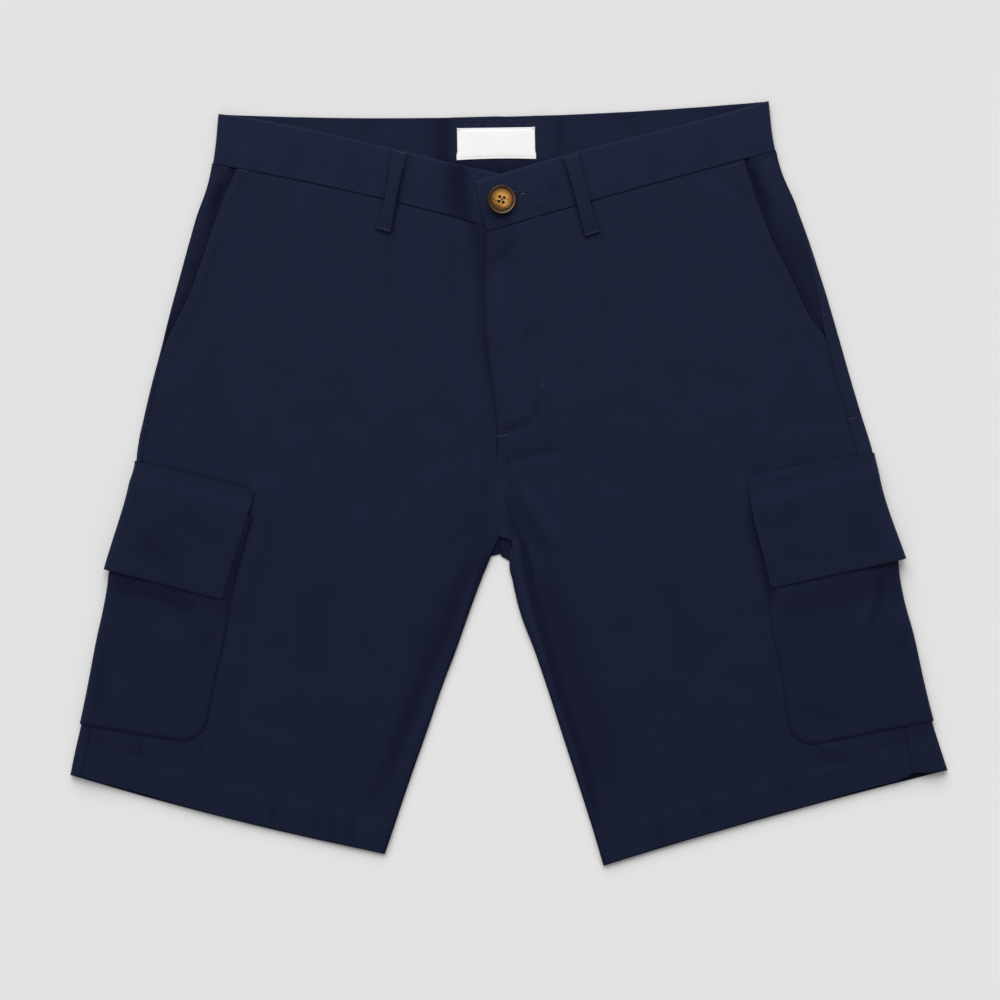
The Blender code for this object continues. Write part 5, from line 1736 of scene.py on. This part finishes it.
class Value:
    """A shader socket with arithmetic: an expression on values adds its Math nodes."""

    def __init__(self, finish, socket):
        self.finish = finish
        self.socket = socket

    def math(self, operation, *others, first=None):
        """A Math node on this value and others, or on another value before this one."""
        inputs = [self, *others] if first is None else [first, self]
        return self.finish.add("ShaderNodeMath", {"operation": operation}, dict(enumerate(inputs)))

    def __add__(self, other):
        return self.math("ADD", other)

    __radd__ = __add__

    def __sub__(self, other):
        return self.math("SUBTRACT", other)

    def __rsub__(self, other):
        return self.math("SUBTRACT", first=other)

    def __mul__(self, other):
        return self.math("MULTIPLY", other)

    __rmul__ = __mul__

    def __truediv__(self, other):
        return self.math("DIVIDE", other)

    def __neg__(self):
        return self.math("MULTIPLY", -1.0)

    def sine(self):
        """Sine of the value in radians."""
        return self.math("SINE")

    def bell(self, place, width):
        """1 at a place, falling off to both sides as the square's negative exponential."""
        away = (self - place) / width
        return (-(away * away)).math("EXPONENT")

    def clip(self, least, most):
        """The value kept between two others."""
        return self.math("MAXIMUM", least).math("MINIMUM", most)

    def ease(self, start, end):
        """Smooth step from 0 at the start to 1 at the end."""
        settings = {"interpolation_type": "SMOOTHSTEP"}
        sockets = {"Value": self, "From Min": start, "From Max": end, "To Min": 0.0, "To Max": 1.0}
        return self.finish.add("ShaderNodeMapRange", settings, sockets)


class Finish:
    """A material and its nodes, round one Principled shader."""

    def __init__(self, name, roughness):
        self.material = bpy.data.materials.new(name)
        self.material.use_nodes = True
        self.tree = self.material.node_tree
        self.shader = self.tree.nodes["Principled BSDF"]
        self.shader.inputs["Roughness"].default_value = roughness

    def add(self, kind, settings, sockets, output=0):
        """A node of a kind, given its settings and then its sockets."""
        made = self.tree.nodes.new(kind)
        for key, value in settings.items():
            setattr(made, key, value)
        self.connect(made, sockets)
        return Value(self, made.outputs[output])

    def connect(self, node, sockets):
        """Sets or links a node's sockets by name or number."""
        for key, value in sockets.items():
            if isinstance(value, Value):
                self.tree.links.new(value.socket, node.inputs[key])
            else:
                node.inputs[key].default_value = value

    def attribute(self, name):
        """A number that the mesh holds at each point."""
        return self.add("ShaderNodeAttribute", {"attribute_name": name}, {}, "Fac")

    def lengths(self):
        """Lengths across and down the cloth in millimetres, from the UV map."""
        uv = self.add("ShaderNodeUVMap", {"uv_map": "cloth"}, {})
        apart = self.add("ShaderNodeSeparateXYZ", {}, {0: uv})
        across, down = (Value(self, output) for output in apart.socket.node.outputs[:2])
        return across / MM, down / MM

    def upwards(self):
        """The point's distance towards the waist, in metres."""
        apart = self.add("ShaderNodeSeparateXYZ", {}, {0: self.place()})
        return Value(self, apart.socket.node.outputs[1])

    def place(self):
        """The point on the shorts, in metres."""
        return self.add("ShaderNodeTexCoord", {}, {}, "Object")

    def combine(self, x, y, z=0.0):
        """A vector from three numbers."""
        return self.add("ShaderNodeCombineXYZ", {}, {0: x, 1: y, 2: z})

    def noise(self, vector, scale, detail, roughness=0.5):
        """Cloudy noise from 0 to 1."""
        sockets = {"Vector": vector, "Scale": scale, "Detail": detail, "Roughness": roughness}
        return self.add("ShaderNodeTexNoise", {}, sockets)

    def mix(self, factor, first, second):
        """Mixes two colours."""
        first, second = (c if isinstance(c, Value) else (*c, 1.0) for c in (first, second))
        sockets = {0: factor, 6: first, 7: second}
        return self.add("ShaderNodeMix", {"data_type": "RGBA"}, sockets, 2)

    def bump(self, height):
        """Turns a height in millimetres into the shader's normal."""
        normal = self.add("ShaderNodeBump", {}, {"Height": height, "Distance": MM})
        self.connect(self.shader, {"Normal": normal})

    def soft(self, sheen, level):
        """Sheen and a low specular level, as on brushed cotton."""
        self.connect(self.shader, {
            "Sheen Weight": sheen, "Sheen Roughness": 0.45, "Specular IOR Level": level,
        })


def deepen(colour, share):
    """A navy colour times a share, which takes less of its green and least of its blue."""
    red, green, blue = colour
    return (red * share, green * share**0.75, blue * share**0.5)


def tint(colour, share):
    """A colour times a share."""
    return tuple(channel * share for channel in colour)


# Twill: the wales' pitch and slope and how wide the groove under a sewn row is, in millimetres
WALE_PITCH = 0.85
WALE_SLOPE = (0.84, 0.54)
GROOVE = 0.75
PUCKERS = 3.2
HEM_PUCKERS = 5.0

# How much each part of the cloth's unevenness shades its dye, and raises it in millimetres
Uneven = namedtuple("Uneven", "cloud warp weft nap wale")
SHADED = Uneven(0.50, 0.40, 0.26, 0.34, 0.05)
RAISED = Uneven(0.15, 0.09, 0.06, 0.09, 0.020)

# Depth in millimetres of the groove under a sewn row, and of the puckers beside it
SEWN_DEPTH, PUCKER_DEPTH = 0.12, 0.5
HEM_SEWN_DEPTH, HEM_PUCKER_DEPTH = 0.14, 0.7

# The dye at its palest and deepest, the painted light that makes it paler towards the waist, the
# tone at the middle, and the share of painted shade and highlight that comes from the relief
PALEST, DEEPEST = 1.26, 0.74
PAINTED_LIGHT_UPWARDS = 0.59
TONE_AT_MIDDLE = 0.84
RELIEF_SHADE_SHARE = 0.34


def twill(name, colour, rows=(), hem=False, rim=0.12):
    """Brushed cotton twill: slanted wales and slubs from the cloth's own lengths, soft clouds where it
    has washed out, painted light that pales it towards the waist, painted shade and highlight from its
    relief, rims paler as worn and as a painted highlight, and a pressed, slightly puckered groove under
    each sewn row, with painted shade in it."""
    finish = Finish(name, 0.9)
    across, down = finish.lengths()
    slanted = across * WALE_SLOPE[0] + down * WALE_SLOPE[1]
    wale = (slanted * (2 * math.pi / WALE_PITCH)).sine()
    warp = finish.noise(finish.combine(across * 1.5, down * 0.22), 1.0, 3.0)
    weft = finish.noise(finish.combine(across * 0.2, down * 1.3, 5.0), 1.0, 2.0)
    cloud = finish.noise(finish.place(), 42.0, 4.0, 0.62)
    nap = finish.noise(finish.place(), 420.0, 2.0, 0.6)
    shade = (cloud - 0.5) * SHADED.cloud + (warp - 0.5) * SHADED.warp + (weft - 0.5) * SHADED.weft
    shade = shade + (nap - 0.5) * SHADED.nap + wale * SHADED.wale
    base = finish.mix(shade + 0.5, tint(colour, 2 * DEEPEST), tint(colour, 2 * PALEST))
    # Painted light that makes the cloth paler towards the waist, and painted shade and highlight from the
    # relief attribute
    tone = finish.upwards() * PAINTED_LIGHT_UPWARDS + TONE_AT_MIDDLE
    tone = tone + finish.attribute("relief") * RELIEF_SHADE_SHARE
    height = wale * RAISED.wale + warp * RAISED.warp + weft * RAISED.weft
    height = height + nap * RAISED.nap + cloud * RAISED.cloud
    if rows:
        edge = finish.attribute("edge")
        pucker = finish.noise(finish.combine(across * 0.42, down * 0.42, 2.0), 1.0, 1.0)
        groove = edge.bell(rows[0], GROOVE)
        for row in rows[1:]:
            groove = groove + edge.bell(row, GROOVE)
        puckered = edge.bell(rows[-1], PUCKERS) * (pucker - 0.5) * PUCKER_DEPTH
        height = height - groove * SEWN_DEPTH + puckered
        # Rims paler, as worn and as a painted highlight; painted shade in the groove under each row
        tone = tone + (1.0 - edge.ease(0.2, 1.3)) * rim - groove * 0.05
    if hem:
        edge = finish.attribute("hem")
        pucker = finish.noise(finish.combine(across * 0.30, down * 0.10, 4.0), 1.0, 1.0)
        groove = edge.bell(HEM_ROW, GROOVE)
        puckered = edge.bell(HEM_ROW, HEM_PUCKERS) * (pucker - 0.5) * HEM_PUCKER_DEPTH
        height = height - groove * HEM_SEWN_DEPTH + puckered
        # Painted shade in the hem row's groove
        tone = tone - groove * 0.03
    # The tone, with its painted light and shade, scales the colour between a deep blue and the twill's own
    base = finish.mix(tone.clip(0.4, 1.5) / 2.0, (0.0, 0.0, colour[2] / 3), base)
    finish.connect(finish.shader, {"Base Color": base, "Roughness": 0.84 + (nap - 0.5) * 0.16})
    finish.soft(0.05, 0.10)
    finish.bump(height)
    return finish.material


def thread(name, colour):
    """Twisted sewing thread: uneven dye and fine turns."""
    finish = Finish(name, 0.6)
    fleck = finish.noise(finish.place(), 900.0, 2.0)
    turns = finish.noise(finish.place(), 2600.0, 1.0)
    base = finish.mix(fleck, tint(colour, 0.7), tint(colour, 1.35))
    finish.connect(finish.shader, {"Base Color": base, "Roughness": 0.5 + turns * 0.2})
    finish.soft(0.05, 0.12)
    finish.bump(turns * 0.05)
    return finish.material


def woven_label(name, colour):
    """Satin-woven tape: fine ribs across, a matt border and slightly uneven white."""
    finish = Finish(name, 0.6)
    across, down = finish.lengths()
    rib = (down * (2 * math.pi / 0.55)).sine()
    grain = (across * (2 * math.pi / 0.8)).sine()
    fleck = finish.noise(finish.combine(across * 0.8, down * 3.0), 1.0, 3.0)
    border = 1.0 - finish.attribute("edge").ease(0.7, 1.5)
    base = finish.mix(fleck * 0.5 + rib * 0.1, colour, tint(colour, 0.92))
    base = finish.mix(border * 0.35, base, tint(colour, 0.80))
    finish.connect(finish.shader, {"Base Color": base, "Roughness": 0.55 + fleck * 0.2})
    finish.soft(0.05, 0.3)
    finish.bump(rib * 0.03 + grain * 0.012 + fleck * 0.04)
    return finish.material


# A painted highlight on the turned ring of the horn button
RING_HIGHLIGHT_COLOUR = (0.60, 0.42, 0.25)

# The horn between its light and dark streaks
AMBER_HORN = (0.40, 0.170, 0.030)

# Across the button, as shares of its radius: middle and half width of the ring's painted highlight
# and of the groove's painted shade inside it, and where the rim's painted shade and the fading of the
# glow start and are full
RING_HIGHLIGHT = (0.88, 0.045)
TURNED_GROOVE = (0.80, 0.035)
RIM_SHADE = (0.905, 0.955)
GLOW_FADE = (0.15, 0.95)

# How dark the painted shade in the groove, at the rim and in the holes is, as shares of the dark
# streaks' colour
GROOVE_SHADE, RIM_SHADE_TONE, PIT_SHADE = 0.6, 0.30, 0.40


def horn(name, light, dark):
    """Polished horn look: long streaks bent by slow noise, painted light brightening it towards its
    top, a painted highlight on the turned ring, and painted shade in the groove, the holes and at the rim.
    """
    finish = Finish(name, 0.4)
    across, down = finish.lengths()
    bend = finish.noise(finish.combine(across * 0.10, down * 0.10), 1.0, 2.0)
    streak = finish.noise(finish.combine(across * 0.12 + bend * 1.6, down * 0.50 + bend * 2.2), 1.0, 4.0)
    fine = finish.noise(finish.combine(across * 0.5, down * 2.4, 3.0), 1.0, 3.0)
    ring = finish.attribute("ring")
    # The streaks, with painted light that brightens the button towards its top and a little towards the
    # wearer's left
    lit = (streak * 1.5 - 0.35 + fine * 0.4 + across * 0.01 + down * 0.055).ease(0.1, 0.95)
    glow = 1.0 - ring.ease(*GLOW_FADE)
    share = glow * (lit * 0.85 + 0.34)
    base = finish.mix(share.ease(0.0, 0.62), dark, AMBER_HORN)
    base = finish.mix(share.ease(0.45, 1.05), base, light)
    # Painted highlight on the turned ring, stronger towards the wearer's left and the bottom
    ring_highlight = ring.bell(*RING_HIGHLIGHT) * (across * 0.016 - down * 0.014 + 0.14)
    base = finish.mix(ring_highlight, base, RING_HIGHLIGHT_COLOUR)
    # Painted shade in the groove, at the rim and in the holes
    base = finish.mix(ring.bell(*TURNED_GROOVE) * 0.55, base, tint(dark, GROOVE_SHADE))
    base = finish.mix(ring.ease(*RIM_SHADE) * 0.94, base, tint(dark, RIM_SHADE_TONE))
    base = finish.mix(finish.attribute("pit"), base, tint(dark, PIT_SHADE))
    finish.connect(finish.shader, {"Base Color": base, "Roughness": 0.36 + fine * 0.18})
    finish.connect(finish.shader, {"Specular IOR Level": 0.25})
    finish.bump(fine * 0.04 + streak * 0.05)
    return finish.material


def make_floor(stage):
    """A plain pale floor a hair below the cloth: a disc round the middle."""
    angle = np.linspace(0, 2 * math.pi, 64, endpoint=False)
    radius = stage.floor_radius
    points = np.stack([radius * np.cos(angle), radius * np.sin(angle), np.full(64, -0.0003)], -1)
    mesh = bpy.data.meshes.new("floor")
    mesh.from_pydata(points, [], [list(range(64))])
    finish = Finish("floor_paper", 0.9)
    finish.connect(finish.shader, {"Base Color": (*stage.floor, 1.0), "Specular IOR Level": 0.0})
    mesh.materials.append(finish.material)
    floor = bpy.data.objects.new("floor", mesh)
    bpy.context.scene.collection.objects.link(floor)
    return floor


def make_lights(stage):
    """Even light from all round and one wide soft light from the waist's side."""
    world = bpy.data.worlds.new("studio")
    world.use_nodes = True
    room = world.node_tree.nodes["Background"]
    room.inputs["Color"].default_value = (1.0, 1.0, 1.0, 1.0)
    room.inputs["Strength"].default_value = stage.sky
    bpy.context.scene.world = world
    light = bpy.data.lights.new("key", "SUN")
    light.energy = stage.key
    light.angle = stage.key_spread
    key = bpy.data.objects.new("key", light)
    key.rotation_euler = (stage.key_height - math.pi / 2, 0.0, math.radians(8))
    bpy.context.scene.collection.objects.link(key)


def make_camera(stage):
    """A camera straight above, looking down."""
    lens = bpy.data.cameras.new("camera")
    lens.lens = stage.lens
    lens.sensor_width = 36.0
    camera = bpy.data.objects.new("camera", lens)
    camera.location = (stage.aim[0], stage.aim[1], stage.camera_height)
    bpy.context.scene.collection.objects.link(camera)
    bpy.context.scene.camera = camera
    bpy.context.scene.view_settings.view_transform = "Standard"


# Colours of single pieces, as shares of the colour that they are named for
POCKET_DYE = 0.92
FLAP_DYE = 0.91
BAND_DYE = 1.04
# The buttonhole's purl is paler than the thread as a painted highlight on its dense strands
PURL_HIGHLIGHT = 1.6
# The buttonhole's slit is a dark sheet of painted shade
SLIT_SHADE = 0.25
BUTTON_THREAD_DYE = 2.4
LABEL_THREAD_DYE = 0.9


def chosen(context):
    """The sizes and the colours that the user has set."""
    return context.scene.shorts_cloth, context.scene.shorts_colours


class SHORTS_OT_legs(bpy.types.Operator):
    """Make the two fronts and the two backs"""

    bl_idname = "shorts.legs"
    bl_label = "Legs"

    def execute(self, context):
        settings, colours = chosen(context)
        front = twill("twill_front", colours.navy, rows=SLANT_ROWS, hem=True, rim=0.0)
        back = twill("twill_back", colours.navy, hem=True)
        for half in HALVES:
            make_back(half, settings, back)
            make_front(half, settings, front)
        return {"FINISHED"}


class SHORTS_OT_facings(bpy.types.Operator):
    """Make the facings seen in the slant pockets"""

    bl_idname = "shorts.facings"
    bl_label = "Pocket facings"

    def execute(self, context):
        settings, colours = chosen(context)
        finish = twill("twill_facing", colours.navy)
        for half in HALVES:
            make_facing(half, settings, finish)
        return {"FINISHED"}


class SHORTS_OT_pockets(bpy.types.Operator):
    """Make the cargo pocket of each leg"""

    bl_idname = "shorts.pockets"
    bl_label = "Cargo pockets"

    def execute(self, context):
        settings, colours = chosen(context)
        navy = deepen(colours.navy, POCKET_DYE)
        finish = twill("twill_pocket", navy, rows=(EDGE_ROW, WIDE_ROW), rim=0.0)
        for half in HALVES:
            pocket, flap = pocket_shape(half), flap_shape(half)
            make_patch(pocket, "pocket", settings, finish, "leg_front", flap)
        return {"FINISHED"}


class SHORTS_OT_flaps(bpy.types.Operator):
    """Make the flap over each cargo pocket"""

    bl_idname = "shorts.flaps"
    bl_label = "Cargo flaps"

    def execute(self, context):
        settings, colours = chosen(context)
        finish = twill("twill_flap", deepen(colours.navy, FLAP_DYE), rows=(FLAP_ROW,))
        for half in HALVES:
            make_patch(flap_shape(half), "flap", settings, finish, "pocket")
        return {"FINISHED"}


class SHORTS_OT_band(bpy.types.Operator):
    """Make the waistband"""

    bl_idname = "shorts.band"
    bl_label = "Waistband"

    def execute(self, context):
        settings, colours = chosen(context)
        navy = tint(colours.navy, BAND_DYE)
        make_band(settings, twill("twill_band", navy, rows=BACK_BAND_ROWS))
        return {"FINISHED"}


class SHORTS_OT_loops(bpy.types.Operator):
    """Make the two front belt loops"""

    bl_idname = "shorts.loops"
    bl_label = "Belt loops"

    def execute(self, context):
        settings, colours = chosen(context)
        finish = twill("twill_loop", colours.navy, rows=(1.5,))
        for half in HALVES:
            make_loop(half, settings, finish)
        return {"FINISHED"}


class SHORTS_OT_label(bpy.types.Operator):
    """Make the blank woven label"""

    bl_idname = "shorts.label"
    bl_label = "Label"

    def execute(self, context):
        settings, colours = chosen(context)
        make_label(settings, woven_label("label_satin", colours.label))
        return {"FINISHED"}


class SHORTS_OT_button(bpy.types.Operator):
    """Make the waist button"""

    bl_idname = "shorts.button"
    bl_label = "Button"

    def execute(self, context):
        colours = context.scene.shorts_colours
        make_button(horn("horn", colours.horn_light, colours.horn_dark))
        return {"FINISHED"}


class SHORTS_OT_sewing(bpy.types.Operator):
    """Sew the topstitching, bar tacks, label, buttonhole and button"""

    bl_idname = "shorts.sewing"
    bl_label = "Sewing"

    def execute(self, context):
        settings, colours = chosen(context)
        navy = thread("thread_navy", colours.thread)
        pale = thread("thread_tack", colours.tack)
        sew_legs(settings, navy)
        sew_pockets(settings, navy)
        sew_band(settings, navy)
        sew_tacks(settings, pale)
        sew_buttonhole(settings, thread("thread_buttonhole", tint(colours.thread, PURL_HIGHLIGHT)))
        make_slit(twill("twill_slit", tint(colours.navy, SLIT_SHADE)))
        sew_button(settings, thread("thread_button", tint(colours.tack, BUTTON_THREAD_DYE)))
        sew_label(settings, thread("thread_white", tint(colours.label, LABEL_THREAD_DYE)))
        return {"FINISHED"}


class SHORTS_OT_stage(bpy.types.Operator):
    """Make the floor, the light and the camera"""

    bl_idname = "shorts.stage"
    bl_label = "Stage"

    def execute(self, context):
        stage = context.scene.shorts_stage
        make_floor(stage)
        make_lights(stage)
        make_camera(stage)
        return {"FINISHED"}


GROUPS = {"shorts_cloth": ShortsCloth, "shorts_colours": ShortsColours, "shorts_stage": ShortsStage}
OPERATORS = (
    SHORTS_OT_legs,
    SHORTS_OT_facings,
    SHORTS_OT_pockets,
    SHORTS_OT_flaps,
    SHORTS_OT_band,
    SHORTS_OT_loops,
    SHORTS_OT_label,
    SHORTS_OT_button,
    SHORTS_OT_sewing,
    SHORTS_OT_stage,
)


class SHORTS_PT_sidebar(bpy.types.Panel):
    """Lists the sizes, colours and steps"""

    bl_idname = "SHORTS_PT_sidebar"
    bl_label = "Cargo shorts"
    bl_space_type = "VIEW_3D"
    bl_region_type = "UI"
    bl_category = "Shorts"

    def draw(self, context):
        for group in GROUPS:
            box = self.layout.box()
            settings = getattr(context.scene, group)
            for name in settings.bl_rna.properties.keys():
                if name not in {"rna_type", "name"}:
                    box.prop(settings, name)
        for operator in OPERATORS:
            self.layout.operator(operator.bl_idname)


def register():
    for group in GROUPS.values():
        bpy.utils.register_class(group)
    for name, group in GROUPS.items():
        setattr(bpy.types.Scene, name, bpy.props.PointerProperty(type=group))
    for operator in OPERATORS:
        bpy.utils.register_class(operator)
    bpy.utils.register_class(SHORTS_PT_sidebar)


def unregister():
    bpy.utils.unregister_class(SHORTS_PT_sidebar)
    for operator in reversed(OPERATORS):
        bpy.utils.unregister_class(operator)
    for name in GROUPS:
        delattr(bpy.types.Scene, name)
    for group in reversed(list(GROUPS.values())):
        bpy.utils.unregister_class(group)


def main():
    register()
    for operator in OPERATORS:
        group, name = operator.bl_idname.split(".")
        getattr(getattr(bpy.ops, group), name)()


if __name__ == "__main__":
    main()
